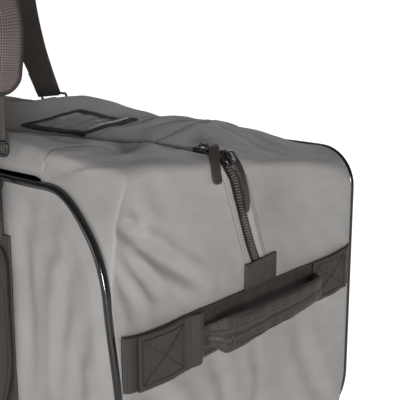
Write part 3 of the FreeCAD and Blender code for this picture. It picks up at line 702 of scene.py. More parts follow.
def panel_edge(x, z, corner):
    """Distance in from the piping round a side panel."""
    half_x, half_z = END_X - PANEL_IN, (PANEL_HIGH - PANEL_LOW) / 2
    mid_z = PANEL_LOW + half_z
    r = np.where(z > mid_z, corner - PANEL_IN, FOOT_CORNER - PANEL_IN)
    dx = np.abs(x) - (half_x - r)
    dz = np.abs(z - mid_z) - (half_z - r)
    round_corner = np.hypot(np.maximum(dx, 0), np.maximum(dz, 0)) + np.minimum(np.maximum(dx, dz), 0)
    return r - round_corner


def panel_surface(x, z, lines, seed, corner):
    """Outer surface of a side panel: y out from the bag's middle."""
    edge = np.maximum(panel_edge(x, z, corner), 0)
    rolled = ease(edge / 16)
    return PANEL_Y + 3.2 * rolled + rolled * panel_out(x, z, lines, seed)


def side_skin(name, sign, lines, seed, corner):
    """Side panel inside its piping, its rows closer together round the corners."""
    low, high = PANEL_LOW, PANEL_HIGH
    foot_r, top_r, half_x = FOOT_CORNER - PANEL_IN, corner - PANEL_IN, END_X - PANEL_IN
    steps = 1 - np.cos(np.linspace(0, math.pi / 2, 15))
    rows = np.concatenate([low + foot_r * steps, np.linspace(low + foot_r, high - top_r, 33)[1:-1],
                           high - top_r * steps[::-1]])

    def place(u, v):
        z = np.interp(v, np.linspace(0, 1, len(rows)), rows)
        r = np.where(z > (low + high) / 2, top_r, foot_r)
        drop = np.maximum(np.maximum(low + r - z, z - (high - r)), 0)
        half = half_x - r + np.sqrt(np.maximum(r * r - drop * drop, 0))
        x = (2 * u - 1) * half
        y = panel_surface(x, z, lines, seed, corner)
        return stack(drawn_in(x, np.full_like(x, sign * SIDE_Y), z), sign * y, z)

    bm = sheet_mesh(180, 60, place, (2 * half_x, high - low))
    if sign > 0:
        bmesh.ops.reverse_faces(bm, faces=bm.faces)
    skin = finish_mesh(bm, name + "_panel_skin", FABRIC, "bag")
    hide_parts(name + "_panel")
    return thicken(skin, CLOTH_T)


# Folds, seed of the waves and radius of the upper corners.
FRONT_PANEL = (FRONT_FOLDS, 21, FRONT_CORNER)
BACK_PANEL = (BACK_FOLDS, 27, BACK_CORNER)
side_skin("front", -1, *FRONT_PANEL)
side_skin("back", 1, *BACK_PANEL)


def bottom_skin():
    """Cloth under the base board, held flat at its seams."""
    def place(u, v):
        x = (2 * u - 1) * FLAP_HALF
        y = (2 * v - 1) * SEAM_Y
        wave = 0.5 * noise_field(stack(x, y, 0), 80, 31)
        free = ease((SEAM_Y - np.abs(y)) / 20) * ease((FLAP_HALF - np.abs(x)) / 30)
        return stack(x, y, FLOOR_Z + 0.8 + wave * free)

    bm = sheet_mesh(80, 44, place, (500, 346))
    bmesh.ops.reverse_faces(bm, faces=bm.faces)
    skin = finish_mesh(bm, "bottom_skin", FABRIC, "bag")
    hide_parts("bottom_panel")
    return thicken(skin, CLOTH_T)


bottom_skin()


# ------------------------------------------------------------------ piping
def rounded_path(half_x, low, high, foot_r, top_r, count):
    """Points round a rounded rectangle in the XZ plane, evenly spaced, with their outward directions."""
    side = high - low - foot_r - top_r
    runs = [2 * (half_x - foot_r), side, 2 * (half_x - top_r), side]
    corners = [(half_x - foot_r, low + foot_r, foot_r), (half_x - top_r, high - top_r, top_r),
               (-half_x + top_r, high - top_r, top_r), (-half_x + foot_r, low + foot_r, foot_r)]
    total = sum(runs) + (foot_r + top_r) * math.pi
    at = np.linspace(0, 1, count + 1) * total
    x, z = np.zeros_like(at), np.zeros_like(at)
    nx, nz = np.zeros_like(at), np.zeros_like(at)
    start = 0.0
    for k, (cx, cz, r) in enumerate(corners):
        run, quarter = runs[k], r * math.pi / 2
        way = math.radians(90 * k - 90)
        on_run = (at >= start - 1e-9) & (at <= start + run + 1e-9)
        along = at - start - run
        x = np.where(on_run, cx + r * math.cos(way) - along * math.sin(way), x)
        z = np.where(on_run, cz + r * math.sin(way) + along * math.cos(way), z)
        nx, nz = np.where(on_run, math.cos(way), nx), np.where(on_run, math.sin(way), nz)
        start += run
        on_turn = (at > start) & (at <= start + quarter + 1e-6)
        angle = way + (at - start) / r
        x, z = np.where(on_turn, cx + r * np.cos(angle), x), np.where(on_turn, cz + r * np.sin(angle), z)
        nx, nz = np.where(on_turn, np.cos(angle), nx), np.where(on_turn, np.sin(angle), nz)
        start += quarter
    return x, z, nx, nz


def piping(name, sign, corner):
    """Glossy piping sewn into the seam round a side panel."""
    count = 420
    x, z, nx, nz = rounded_path(END_X - PIPING_R, FLOOR_Z + PIPING_R, PANEL_TOP, FOOT_CORNER - PIPING_R,
                                corner - PIPING_R, count)

    def place(u, v):
        k = np.clip(np.rint(u * count).astype(int), 0, count)
        angle = 2 * math.pi * v
        wave = 0.9 * np.sin(x[k] / 41 + sign) * ease((z[k] - 200) / 120)
        px = x[k] + nx[k] * PIPING_R * np.cos(angle)
        pz = z[k] + nz[k] * (PIPING_R * np.cos(angle)) + wave
        py = sign * (SIDE_Y - PIPING_R) + PIPING_R * np.sin(angle)
        return stack(drawn_in(px, np.full_like(px, sign * SIDE_Y), pz), py, np.maximum(pz, FLOOR_Z))

    bm = sheet_mesh(count, 14, place, (2000, 22), close_u=True, close_v=True)
    bmesh.ops.recalc_face_normals(bm, faces=bm.faces)
    bead = finish_mesh(bm, name + "_piping_bead", PIPING, "bag")
    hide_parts(name + "_piping")


piping("front", -1, FRONT_CORNER)
piping("back", 1, BACK_CORNER)


# ------------------------------------------------------------------ webbing on the ends
def strap_half(y):
    """Half of the height the end strap shows: it cups under its own pull towards the back."""
    return smooth_through(y, [-173, -97, -60, 0, 100, 173], [26, 26, 24.8, 23.8, 22.6, 22.4])


def strap_middle(y):
    """Height of the end strap's middle line, which a full bag pulls up towards the back."""
    return smooth_through(y, [-173, -150, -73, 0, 105, 173], [216, 213, 218, 222, 225, 234]) + 26 - strap_half(y)


def strap_face_x(y, lines, seed):
    """Outer face of the end strap: it bridges the hollows of the fabric under it."""
    middle = strap_middle(y)
    under = [end_face_x(y, middle + step, lines, seed) for step in (-26, -14, 0, 14, 26)]
    return np.maximum.reduce(under) + WEB_T + 0.3


def place_end_piece(bm, name, side, material, body, thick, round_edge=0.0):
    """Finishes a piece built on the near end, at its own end."""
    to_side(bm, side)
    piece = finish_mesh(bm, name, material, body)
    if thick:
        thicken(piece, thick)
    if round_edge:
        soften(piece, round_edge)
    return piece


def stitch_run(points, outward_way, pitch, length, radius):
    """Row of raised thread stitches through a list of places, as one bmesh."""
    points = np.asarray(points, float)
    at = run_along(points)
    bm = bmesh.new()
    for start in np.arange(pitch / 2, at[-1] - length, pitch):
        a = np.array([np.interp(start, at, points[:, k]) for k in range(3)])
        b = np.array([np.interp(start + length, at, points[:, k]) for k in range(3)])
        way = Vector(b - a)
        made = bmesh.ops.create_cone(bm, segments=5, radius1=radius, radius2=radius, depth=way.length,
                                     cap_ends=True)
        turn = way.to_track_quat("Z", "Y").to_matrix().to_4x4()
        centre = Vector((a + b) / 2) + Vector(outward_way) * radius * 0.4
        bmesh.ops.transform(bm, matrix=Matrix.Translation(centre) @ turn, verts=made["verts"])
    return bm


def joined(parts):
    """Several bmeshes as one."""
    whole = bmesh.new()
    for bm in parts:
        mesh = bpy.data.meshes.new("part")
        bm.to_mesh(mesh)
        bm.free()
        whole.from_mesh(mesh)
        bpy.data.meshes.remove(mesh)
    return whole


def end_webbing(name, side, lines, seed):
    """End strap, stitched patches and folded grip of one end."""
    def strap_face(y, z):
        tucked = 2.6 * ease((np.abs(y) - 165) / 8)
        curl = 0.5 * ((z - strap_middle(y)) / 26) ** 4
        return strap_face_x(y, lines, seed) - tucked + curl

    def patch_face(y, z):
        crumple = 0.5 * noise_field(stack(0, y, z), 26, seed + 3)
        held = 1 - 0.55 * bump(z - strap_middle(y) + 26, 9)
        free = 5.0 * ease((y + 98) / 19) * (y < 0) * held + 0.8 * bump(y + 96, 2.0)
        return strap_face(y, z) + WEB_T + 0.2 + crumple + free

    def strap_place(u, v):
        y = -SEAM_Y + 2 * SEAM_Y * u
        z = strap_middle(y) + (2 * v - 1) * strap_half(y)
        return stack(strap_face(y, z), y, z)

    bm = sheet_mesh(130, 12, strap_place, (2 * SEAM_Y, 52))
    strap = place_end_piece(bm, name + "_end_webbing", side, WEBBING, "bag", WEB_SOLID, 0.5)
    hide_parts(name + "_end_strap")

    patches, threads = [], []
    inset, front_box_end = 5.0, -101.0  # the front patch is left free of its stitches towards the grip
    for low, high in ((-157.0, -79.0), (101.0, 158.0)):
        def patch_place(u, v, low=low, high=high):
            y = low + (high - low) * u
            z = strap_middle(y) + (2 * v - 1) * (strap_half(y) + 0.4)
            return stack(patch_face(y, z), y, z)

        patches.append(sheet_mesh(44, 18, patch_place, (high - low, 52)))
        y_a, y_b = low + inset, (high - inset if low > 0 else front_box_end)
        square = [(y_a, -1), (y_b, -1), (y_b, 1), (y_a, 1), (y_a, -1), (y_b, 1), (y_a, 1), (y_b, -1)]
        path = []
        for (ya, va), (yb, vb) in zip(square[:-1], square[1:]):
            for t in np.linspace(0, 1, 14):
                y, v = np.array([ya + (yb - ya) * t]), va + (vb - va) * t
                z = strap_middle(y) + (strap_half(y) - 4.5) * v
                path.append([patch_face(y, z)[0] + 0.15, y[0], z[0]])
        threads.append(stitch_run(path, (1, 0, 0), 3.6, 2.4, 0.45))
    patch = place_end_piece(joined(patches), name + "_box_patches", side, WEBBING, "bag",
                            WEB_SOLID, 0.5)
    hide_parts(name + "_grab_patches")
    edge_lines = []
    for edge in (-1, 1):
        y = np.linspace(-160, 160, 90)
        z = strap_middle(y) + edge * (strap_half(y) - 3.5)
        shown = strap_face(y, z) + 0.1
        edge_lines.append(stitch_run(stack(shown, y, z), (1, 0, 0), 4.4, 2.8, 0.36))
    place_end_piece(joined(threads + edge_lines), name + "_strap_stitching", side, THREAD, "bag", 0)

    grip_piece(name, side, lines, seed)


GRIP_FREE = (-54.0, 82.0)  # the part of a grab grip that lifts whole; the rest stays in place where it is sewn


def grip_piece(name, side, lines, seed):
    """Grab grip: the webbing folded in two and sewn, standing off the strap in a low bow."""
    first, last = -84.0, 103.0
    rows = [-84, -74, -68, -64, -60, -52, -20, 40, 70, 84, 92, 96, 103]
    lows = [-10, -11, -13, -17, -19.5, -19.5, -17, -14.5, -12, -11, -10, -8, -6]
    tops = [12, 12, 13, 16, 17, 17, 15, 13.5, 13.5, 14, 14, 13, 12]
    lifts = [0, 3, 8, 13, 15, 16, 17, 17, 17, 16, 14, 8, 0]

    def place(u, v):
        y = first + (last - first) * u
        lift = smooth_through(y, rows, lifts)
        base = strap_face_x(y, lines, seed) + 0.6
        low, top = smooth_through(y, rows, lows), smooth_through(y, rows, tops)
        angle = 2 * math.pi * v
        across = np.cos(angle)
        depth = np.sin(angle)
        z = strap_middle(y) + (top + low) / 2 + (top - low) / 2 * boxy(across, 0.45)
        thick = 3.1 * boxy(depth, 0.6)
        crease = 3.0 * bump(z - strap_middle(y) - (top + low) / 2 - 1.0, 1.4) * (depth > 0)
        notch = 7.0 * bump(y + 64, 11) * bump(z - strap_middle(y) + 3, 5)
        wave = 0.6 * noise_field(stack(0, y, z), 40, seed + 7)
        return stack(base + lift + thick + 3.0 - crease + wave - notch, y, z)

    free_low, free_high = GRIP_FREE
    for part, y0, y1, cells in (("", free_low, free_high, 94), ("_front_root", first, free_low, 24),
                                ("_back_root", free_high, last, 18)):
        def stretch(u, v, y0=y0, y1=y1):
            return place((y0 - first + (y1 - y0) * u) / (last - first), v)

        bm = sheet_mesh(cells, 52, stretch, (y1 - y0, 90), close_v=True)
        bmesh.ops.holes_fill(bm, edges=[edge for edge in bm.edges if edge.is_boundary], sides=60)
        bmesh.ops.recalc_face_normals(bm, faces=bm.faces)
        grip = place_end_piece(bm, name + "_folded_grip" + part, side, WEBBING,
                               None if part else name + "_grip", 0)
        if part:
            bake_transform(grip)
        else:
            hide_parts(name + "_grab_grip")
    rows_out = []
    for offset in (12.4, -14.0):
        y = np.linspace(-46, 79, 60)
        u = (y - first) / (last - first)
        z = strap_middle(y) + offset
        spots = []
        for one_y, one_u, one_z in zip(y, u, z):
            ring = np.linspace(0.02, 0.48, 40)
            found = place(np.full_like(ring, one_u), ring)
            k = np.argmin(np.abs(found[:, 2] - one_z))
            spots.append([found[k, 0] + 0.1, one_y, found[k, 2]])
        rows_out.append(stitch_run(spots, (1, 0, 0), 4.0, 2.6, 0.4))
    place_end_piece(joined(rows_out), name + "_grip_stitching", side, THREAD, name + "_grip", 0)


for end in ENDS:
    end_webbing(*end)


# ------------------------------------------------------------------ zip
def garage_piece(name, side, lines, seed):
    """Folded tab over the zip's lower end, tucked behind the end strap."""
    def place(u, v):
        y = -10.0 + 50.0 * u
        z = 246.0 + 1.5 * u + (27.5 + 2.5 * u) * v
        puff = 1.6 * np.sin(math.pi * np.clip(v, 0, 1)) * np.sin(math.pi * u)
        front, back = [end_face_x(np.full_like(z, at), np.full_like(z, 262.0), lines, seed)
                       for at in (-16.0, 46.0)]
        face = front * (1 - u) + back * u
        return stack(face + 4.6 - 2.0 * u + puff, y, z)

    bm = sheet_mesh(22, 14, place, (50, 30))
    tab = place_end_piece(bm, name + "_garage_tab", side, TRIM, "bag", 2.6, 0.8)
    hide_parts(name + "_zip_garage")


for end in ENDS:
    garage_piece(*end)


def chain_line(step):
    """Places down the middle of one end's zip, from the flap's edge to the garage, with outward ways."""
    s = np.linspace(0.0, 0.52, 1400)
    x, z = band_point(s, np.full_like(s, ZIP_Y))
    y = zip_centre_y(np.where(s < 0.2, ZIP_Z + 5, z))
    for _ in range(3):
        x, z = band_point(s, y)
        y = np.where(s < 0.19, ZIP_Y, zip_centre_y(z))
    spots = stack(drawn_in(x, y, z), y, z)
    keep = (z > 250) | (s < 0.3)
    spots = spots[keep]
    at = run_along(spots)
    even = np.arange(0, at[-1], step)
    line = np.column_stack([np.interp(even, at, spots[:, k]) for k in range(3)])
    way = np.gradient(line, axis=0)
    way /= np.linalg.norm(way, axis=1)[:, None]
    across = np.array([0.0, 1.0, 0.0]) - way * way[:, 1:2]
    across /= np.linalg.norm(across, axis=1)[:, None]
    return line, way, across, np.cross(way, across)


def tooth_mesh(bm, place, way, across, out, side):
    """One moulded tooth: a chamfered block with its head over the chain's middle."""
    made = bmesh.ops.create_cube(bm, size=1)
    turn = Matrix([(way[k], across[k], out[k]) for k in range(3)]).to_4x4()
    size = Matrix.Diagonal((1.35, 4.7, 1.9, 1))
    centre = Vector(place + across * side * 1.75 + out * -0.6)
    bmesh.ops.transform(bm, matrix=Matrix.Translation(centre) @ turn @ size, verts=made["verts"])


TOOTH_STEP = 1.55         # half the pitch of one side's teeth
TAPE_IN = 1.6             # from the chain's middle to a tape's inner edge


def end_zip(name, side):
    """Tapes and teeth of one end's fixed run."""
    line, way, across, out = chain_line(TOOTH_STEP)
    teeth = bmesh.new()
    for k in range(2, len(line) - 1):
        tooth_mesh(teeth, line[k], way[k], across[k], out[k], 1 if k % 2 else -1)
    tapes = []
    for sign in (-1, 1):
        def place(u, v, sign=sign):
            k = np.clip(np.rint(u * (len(line) - 1)).astype(int), 0, len(line) - 1)
            off = sign * (TAPE_IN + 6.9 * v)
            return line[k] + across[k] * off[:, None] - out[k] * (1.3 + 0.9 * v)[:, None]

        tape = sheet_mesh(len(line) // 2, 3, place, (len(line) * TOOTH_STEP, 7))
        if sign < 0:
            bmesh.ops.reverse_faces(tape, faces=tape.faces)
        tapes.append(tape)
    for bm, label, node, material, slot, thick in (
            (teeth, "_end_chain", "_end_zip_teeth", TEETH_PAINTED_HIGHLIGHT, "zip_teeth", 0),
            (joined(tapes), "_end_tape_pair", "_end_zip_tapes", TAPE_PAINTED_SHADE, "zip_tape", 0.8)):
        piece = place_end_piece(bm, name + label, side, material, "bag", thick)
        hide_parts(name + node)


end_zip("near", 1)
end_zip("far", -1)


def flap_zip(word, sign):
    """Tape and teeth along one flap: a straight middle on the flap, and runs at its ends that ride on no body."""
    for part, x0, x1 in (("", -GUSSET_X, GUSSET_X), ("_near", GUSSET_X, FLAP_HALF),
                         ("_far", -FLAP_HALF, -GUSSET_X)):
        teeth = bmesh.new()
        shift = TOOTH_STEP if sign > 0 else 0.0
        for x in np.arange(x0 + shift + 1, x1 - 0.5, 2 * TOOTH_STEP):
            z = top_height(np.array([x]), np.array([ZIP_Y]))[0] - 0.2
            tooth_mesh(teeth, np.array([x, ZIP_Y, z]), (1, 0, 0), np.array([0, 1.0, 0]),
                       np.array([0, 0, 1.0]), sign)

        def place(u, v, x0=x0, x1=x1):
            x = x0 + (x1 - x0) * u
            y = ZIP_Y + sign * (TAPE_IN + 6.2 * v)
            return stack(x, y, top_height(x, np.full_like(x, ZIP_Y)) - 1.5 - 0.9 * v)

        tape = sheet_mesh(int((x1 - x0) / 5), 3, place, (x1 - x0, 7))
        if sign < 0:
            bmesh.ops.reverse_faces(tape, faces=tape.faces)
        body = None if part else word + "_flap"
        chain = finish_mesh(teeth, word + part + "_flap_chain", TEETH_PAINTED_HIGHLIGHT, body)
        strip = finish_mesh(tape, word + part + "_flap_tape", TAPE_PAINTED_SHADE, body)
        thicken(strip, 0.8)
        if part:
            bend_with_flap(chain)
            bend_with_flap(strip)
        else:
            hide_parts(word + "_zip_teeth")
            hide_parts(word + "_zip_tape")


flap_zip("front", -1)
flap_zip("back", 1)


# ------------------------------------------------------------------ card window on the top
def window_piece(name, lift, border, keep_border, material, node, thick):
    """Binding or clear pane of the window, laid on the back flap; its corners are pulled out of square."""
    nu, nv, long, short = 62, 40, 116, 72
    corners = np.array([[4, -14], [135, -24], [159, 40], [51, 44]], float)

    def place(u, v):
        low = corners[0] + (corners[1] - corners[0]) * u[:, None]
        high = corners[3] + (corners[2] - corners[3]) * u[:, None]
        flat = low + (high - low) * v[:, None]
        x, y = flat[:, 0], flat[:, 1]
        y = np.maximum(y, -24.0 + 3.0 * np.sin(math.pi * u) ** 2)
        spots = stack(x, y, 0)
        wave = 0.8 * noise_field(spots, 34, 61) * np.sin(math.pi * u) ** 0.5 * np.sin(math.pi * v) ** 0.5
        crinkle = 2.6 * bump(u - 0.90, 0.05) * ease(v * 2) + 1.2 * bump(u - 0.80, 0.04) * ease((v - 0.3) * 2)
        inner = 0 if keep_border else np.abs(wave) + crinkle
        return stack(x, y, top_height(x, y) + top_relief(x, y) + lift + inner)

    bm = sheet_mesh(nu, nv, place, (long, short))
    edge_u, edge_v = border / long, border / short
    layer = bm.loops.layers.uv.active
    doomed = []
    for face in bm.faces:
        middle = sum((loop[layer].uv for loop in face.loops), Vector((0, 0))) / len(face.loops)
        u, v = middle.x / long, middle.y / short
        inside = edge_u < u < 1 - edge_u and edge_v < v < 1 - edge_v
        if inside == keep_border:
            doomed.append(face)
    bmesh.ops.delete(bm, geom=doomed, context="FACES")
    piece = finish_mesh(bm, name, material, "back_flap")
    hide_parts(node)
    thicken(piece, thick)
    if keep_border:
        soften(piece, 0.4)


window_piece("window_frame_tape", 2.1, 8.6, True, BINDING, "window_binding", 1.7)
window_piece("window_film", 1.5, 7.0, False, FILM, "window_pane", 0.5)


# ------------------------------------------------------------------ sliders and pulls
def tube(points, radius, sides, closed=True):
    """Round rod along a list of places."""
    points = np.asarray(points, float)
    count = len(points)
    nxt = np.roll(points, -1, 0) if closed else np.vstack([points[1:], 2 * points[-1] - points[-2]])
    prv = np.roll(points, 1, 0) if closed else np.vstack([2 * points[0] - points[1], points[:-1]])
    way = nxt - prv
    way /= np.linalg.norm(way, axis=1)[:, None]
    flat = np.linalg.svd(points - points.mean(0))[2][2]
    side = np.cross(way, flat)
    side /= np.maximum(np.linalg.norm(side, axis=1), 1e-9)[:, None]
    over = np.cross(side, way)
    last = count if closed else count - 1

    def place(u, v):
        k = np.rint(u * last).astype(int) % count
        angle = 2 * math.pi * v
        return points[k] + radius * (np.cos(angle)[:, None] * side[k] + np.sin(angle)[:, None] * over[k])

    bm = sheet_mesh(last, sides, place, (100, 6), close_u=closed, close_v=True)
    if not closed:
        bmesh.ops.holes_fill(bm, edges=[edge for edge in bm.edges if edge.is_boundary], sides=sides)
    bmesh.ops.recalc_face_normals(bm, faces=bm.faces)
    return bm


def rounded_ring(half_w, half_h, r):
    """Places round a small rounded rectangle in the XZ plane."""
    spots = []
    for k, (sx, sz) in enumerate(((1, -1), (1, 1), (-1, 1), (-1, -1))):
        for t in np.linspace(0, math.pi / 2, 6):
            angle = math.radians(90 * k - 90) + t
            spots.append([sx * (half_w - r) + r * math.cos(angle), 0, sz * (half_h - r) + r * math.sin(angle)])
    return np.array(spots)


def slab(outline, low, high, width=0.5):
    """Flat plate with an outline in the XY plane and softened edges."""
    bm = bmesh.new()
    rim = [bm.verts.new((x, y, low)) for x, y in outline]
    face = bm.faces.new(rim)
    grown = bmesh.ops.extrude_face_region(bm, geom=[face])
    top = [item for item in grown["geom"] if isinstance(item, bmesh.types.BMVert)]
    bmesh.ops.translate(bm, vec=(0, 0, high - low), verts=top)
    bmesh.ops.recalc_face_normals(bm, faces=bm.faces)
    bmesh.ops.bevel(bm, geom=list(bm.edges), offset=width, segments=2, profile=0.5, affect="EDGES",
                    clamp_overlap=True, material=-1)
    return bm


def slider_body():
    """Zip slider: a waisted shield over the teeth, side lips and the bridge that holds the pull."""
    half = [(9.2, 0), (9.0, 3.0), (6.5, 4.6), (2.5, 6.2), (-4.5, 6.4), (-8.2, 5.6), (-9.2, 3.4)]
    outline = half + [(x, -y) for x, y in reversed(half) if y]
    parts = [slab(outline, 0.9, 3.2, 0.6)]
    for sign in (-1, 1):
        lip = [(7.0, sign * 4.1), (2.5, sign * 6.2), (-4.5, sign * 6.4), (-8.0, sign * 5.5), (-7.6, sign * 4.6),
               (2.0, sign * 5.0)]
        parts.append(slab(lip if sign > 0 else list(reversed(lip)), -2.2, 1.6, 0.3))
    arch = [(4.6 * math.cos(t), 0, 2.6 + 3.4 * math.sin(t)) for t in np.linspace(0, math.pi, 13)]
    parts.append(tube(arch, 1.25, 8, closed=False))
    parts.append(slab([(3.0, 1.6), (-3.0, 1.6), (-3.0, -1.6), (3.0, -1.6)], 5.4, 7.0, 0.5))
    return joined(parts)


def set_down(bm, place, turn, swing):
    """Turns a small part about Y and then about Z, and carries it to its place."""
    matrix = (Matrix.Translation(Vector(place)) @ Matrix.Rotation(math.radians(swing), 4, "Z")
              @ Matrix.Rotation(math.radians(turn), 4, "Y"))
    bmesh.ops.transform(bm, matrix=matrix, verts=bm.verts)
    return bm


def ribbon(points, across, half, thick, taper):
    """Closed flat tab along a smooth line: its thickness grows from the middle out, its end is rounded."""
    points = np.asarray(points, float)
    at = run_along(points)
    across = np.asarray(across, float)
    across = across / np.linalg.norm(across)

    def place(u, v):
        d = u * at[-1]
        spot = np.column_stack([smooth_line(d, at, points[:, k]) for k in range(3)])
        step = np.column_stack([smooth_line(d + 0.5, at, points[:, k]) - smooth_line(d - 0.5, at, points[:, k])
                                for k in range(3)])
        step /= np.maximum(np.linalg.norm(step, axis=1), 1e-9)[:, None]
        side = across - step * (step @ across)[:, None]
        side /= np.linalg.norm(side, axis=1)[:, None]
        out = np.cross(step, side)
        left = at[-1] - d
        end_r = 2.5
        width = half * (1 - taper * u) - round_end(left, end_r)
        angle = 2 * math.pi * v
        flat, full = boxy(np.cos(angle), 0.5), boxy(np.sin(angle), 0.35)
        return spot + side * (width * flat)[:, None] + out * (thick / 2 * full)[:, None]

    bm = sheet_mesh(26, 20, place, (at[-1], 4 * half), close_v=True)
    bmesh.ops.holes_fill(bm, edges=[edge for edge in bm.edges if edge.is_boundary], sides=40)
    bmesh.ops.recalc_face_normals(bm, faces=bm.faces)
    return bm


def smooth_line(at, xs, ys):
    """Smooth curve through points that may turn back, by cubic steps with averaged slopes."""
    slope = np.gradient(ys, xs)
    at = np.clip(np.asarray(at, float), xs[0], xs[-1])
    k = np.clip(np.searchsorted(xs, at) - 1, 0, len(xs) - 2)
    h = xs[k + 1] - xs[k]
    t = (at - xs[k]) / h
    return (ys[k] * (1 + 2 * t) * (1 - t) ** 2 + ys[k + 1] * t * t * (3 - 2 * t)
            + h * (slope[k] * t * (1 - t) ** 2 - slope[k + 1] * t * t * (1 - t)))


for node, middle, turn, swing in (("slider_a", (322.0, ZIP_Y, 387.6), 0, 0),
                                  ("slider_b", (350.4, -28.6, 382.2), 48, 6)):
    casting = finish_mesh(set_down(slider_body(), middle, turn, swing), node + "_casting", SLIDER, node)
    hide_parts(node)

for label, middle, turn, swing, node, body in (
        ("pull_a_wire", (329.5, -31.2, 393.4), -4, -14, "slider_a_pull_loop", "pull_a"),
        ("pull_b_wire", (359.0, -28.0, 384.6), 52, 6, "slider_b_pull_loop", "pull_b")):
    ring = rounded_ring(6.6, 5.2, 2.6)[:, [0, 2, 1]]
    wire_piece = set_down(tube(ring, 0.95, 8), middle, turn, swing)
    loop_piece = finish_mesh(wire_piece, label, SLIDER, body)
    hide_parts(node)

tab_a_line = [(330, -31, 394.6), (337, -34, 395.4), (344, -39, 393.8), (350.5, -45, 388), (355.5, -49, 379),
              (359.0, -51, 369), (361.0, -51, 362)]
tab_a = finish_mesh(ribbon(tab_a_line, (0.22, 0.97, 0.05), 5.6, 2.4, taper=0.12), "pull_a_cloth_tab", TAB_PAINTED_SHADE,
                    "pull_a")
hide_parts("slider_a_pull_tab")
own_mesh(tab_a)
tab_b_line = [(362.4, -27.2, 380.6), (365.8, -24.6, 372), (367.4, -20.0, 358), (366.6, -14.6, 343),
              (363.8, -11.0, 329)]
tab_b = finish_mesh(ribbon(tab_b_line, (-0.2, 0.95, 0.25), 5.2, 2.6, taper=0.25), "pull_b_cloth_tab", TAB_PAINTED_SHADE,
                    "pull_b")
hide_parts("slider_b_pull_tab")


def zip_topstitch(name, side, lines, seed):
    """Two rows of stitches on each side of an end's zip, following the fabric."""
    runs = []
    for off in (-15.5, -12.0, 12.0, 15.5):
        z = np.linspace(366, 262, 90)
        y = zip_centre_y(z) + off / ZIP_SLANT
        spots = stack(end_face_x(y, z, lines, seed) + 0.15, y, z)
        runs.append(stitch_run(spots, (1, 0, 0), 3.4, 2.3, 0.30))
    place_end_piece(joined(runs), name + "_zip_topstitch", side, SEAM_THREAD, "bag", 0)


for end in ENDS:
    zip_topstitch(*end)


# ------------------------------------------------------------------ webbing on the side panels
def panel_face(x, z, back):
    """Outer face of a side panel under a piece of webbing, y out from the bag's middle."""
    lines, seed, corner = BACK_PANEL if back else FRONT_PANEL
    spans = [panel_surface(x + step, z, lines, seed, corner) for step in (-24, -12, 0, 12, 24)]
    return np.maximum.reduce(spans)


HAUL_LIMIT = 182.7        # nothing of a haul strap's face stands further out
HAUL_FOOT_Y = 182.4
HAUL_TURN = 6.0           # radius of the turn in under the bag


def haul_face(x, z, back):
    """Outer face of a haul strap on a side panel, and how far it has come from the straight foot, 0 to 1."""
    face = np.minimum(panel_face(x, np.maximum(z, 12), back) + 2.7, HAUL_LIMIT)
    share = ease((z - HAUL_TURN) / 30)
    return face, share


def haul_strap(name, x_middle):
    """Haul strap: up the front, under the bottom and up the back in one length."""
    quarter = 9.4             # length of a turn
    up, under = HAUL_TOP - HAUL_TURN, 2 * (SIDE_Y - HAUL_TURN)
    total = 2 * up + under + 2 * quarter
    low_in = HAUL_FOOT_Y - HAUL_TURN

    def place(u, v):
        d = u * total
        x = x_middle + (2 * v - 1) * WEB_HALF
        z = np.where(d < up, HAUL_TOP - d, np.where(d > total - up, HAUL_TOP - (total - d), 0))
        middle = x * 0 + x_middle
        front, share = haul_face(middle, z, False)
        back = haul_face(middle, z, True)[0]
        y = np.where(d < up, -front, back)
        t, left = d - up, total - up - d
        on_front, on_back = t < quarter, left < quarter
        turn = np.clip(t / quarter, 0, 1) * math.pi / 2
        back_turn = np.clip(left / quarter, 0, 1) * math.pi / 2
        low_y = np.where(on_front, -HAUL_FOOT_Y + HAUL_TURN * (1 - np.cos(turn)),
                         np.where(on_back, HAUL_FOOT_Y - HAUL_TURN * (1 - np.cos(back_turn)),
                                  -low_in + (t - quarter) * (2 * low_in / (under + 0.01))))
        low_z = np.where(on_front, HAUL_TURN * (1 - np.sin(turn)),
                         np.where(on_back, HAUL_TURN * (1 - np.sin(back_turn)), 0))
        y = np.sign(y) * (HAUL_FOOT_Y * (1 - share) + np.abs(y) * share)
        foot = (d >= up) & (d <= total - up)
        return stack(x, np.where(foot, low_y, y), np.where(foot, low_z, np.maximum(z, HAUL_TURN)))

    bm = sheet_mesh(240, 10, place, (total, 50))
    strap = finish_mesh(bm, name + "_haul_webbing", WEBBING, "bag")
    thicken(strap, WEB_SOLID)
    soften(strap, 0.5)
    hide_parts(name + "_haul_strap")
    runs = []
    for back in (False, True):
        for edge in (-21.5, 21.5):
            z = np.linspace(20, HAUL_TOP - 6, 70)
            x = np.full_like(z, x_middle + edge)
            face, share = haul_face(np.full_like(z, x_middle), z, back)
            y = HAUL_FOOT_Y * (1 - share) + (face + 0.1) * share
            sign = 1 if back else -1
            runs.append(stitch_run(stack(x, sign * y, z), (0, sign, 0), 4.6, 3.0, 0.36))
    finish_mesh(joined(runs), name + "_haul_stitching", THREAD, "bag")


haul_strap("near", HAUL_X)
haul_strap("far", -HAUL_X)


def mirrored_to(bm, x_sign, y_sign):
    """Turns a piece made at the front near corner to another corner."""
    bmesh.ops.scale(bm, vec=(x_sign, y_sign, 1), verts=bm.verts)
    if x_sign * y_sign < 0:
        bmesh.ops.reverse_faces(bm, faces=bm.faces)
    return bm


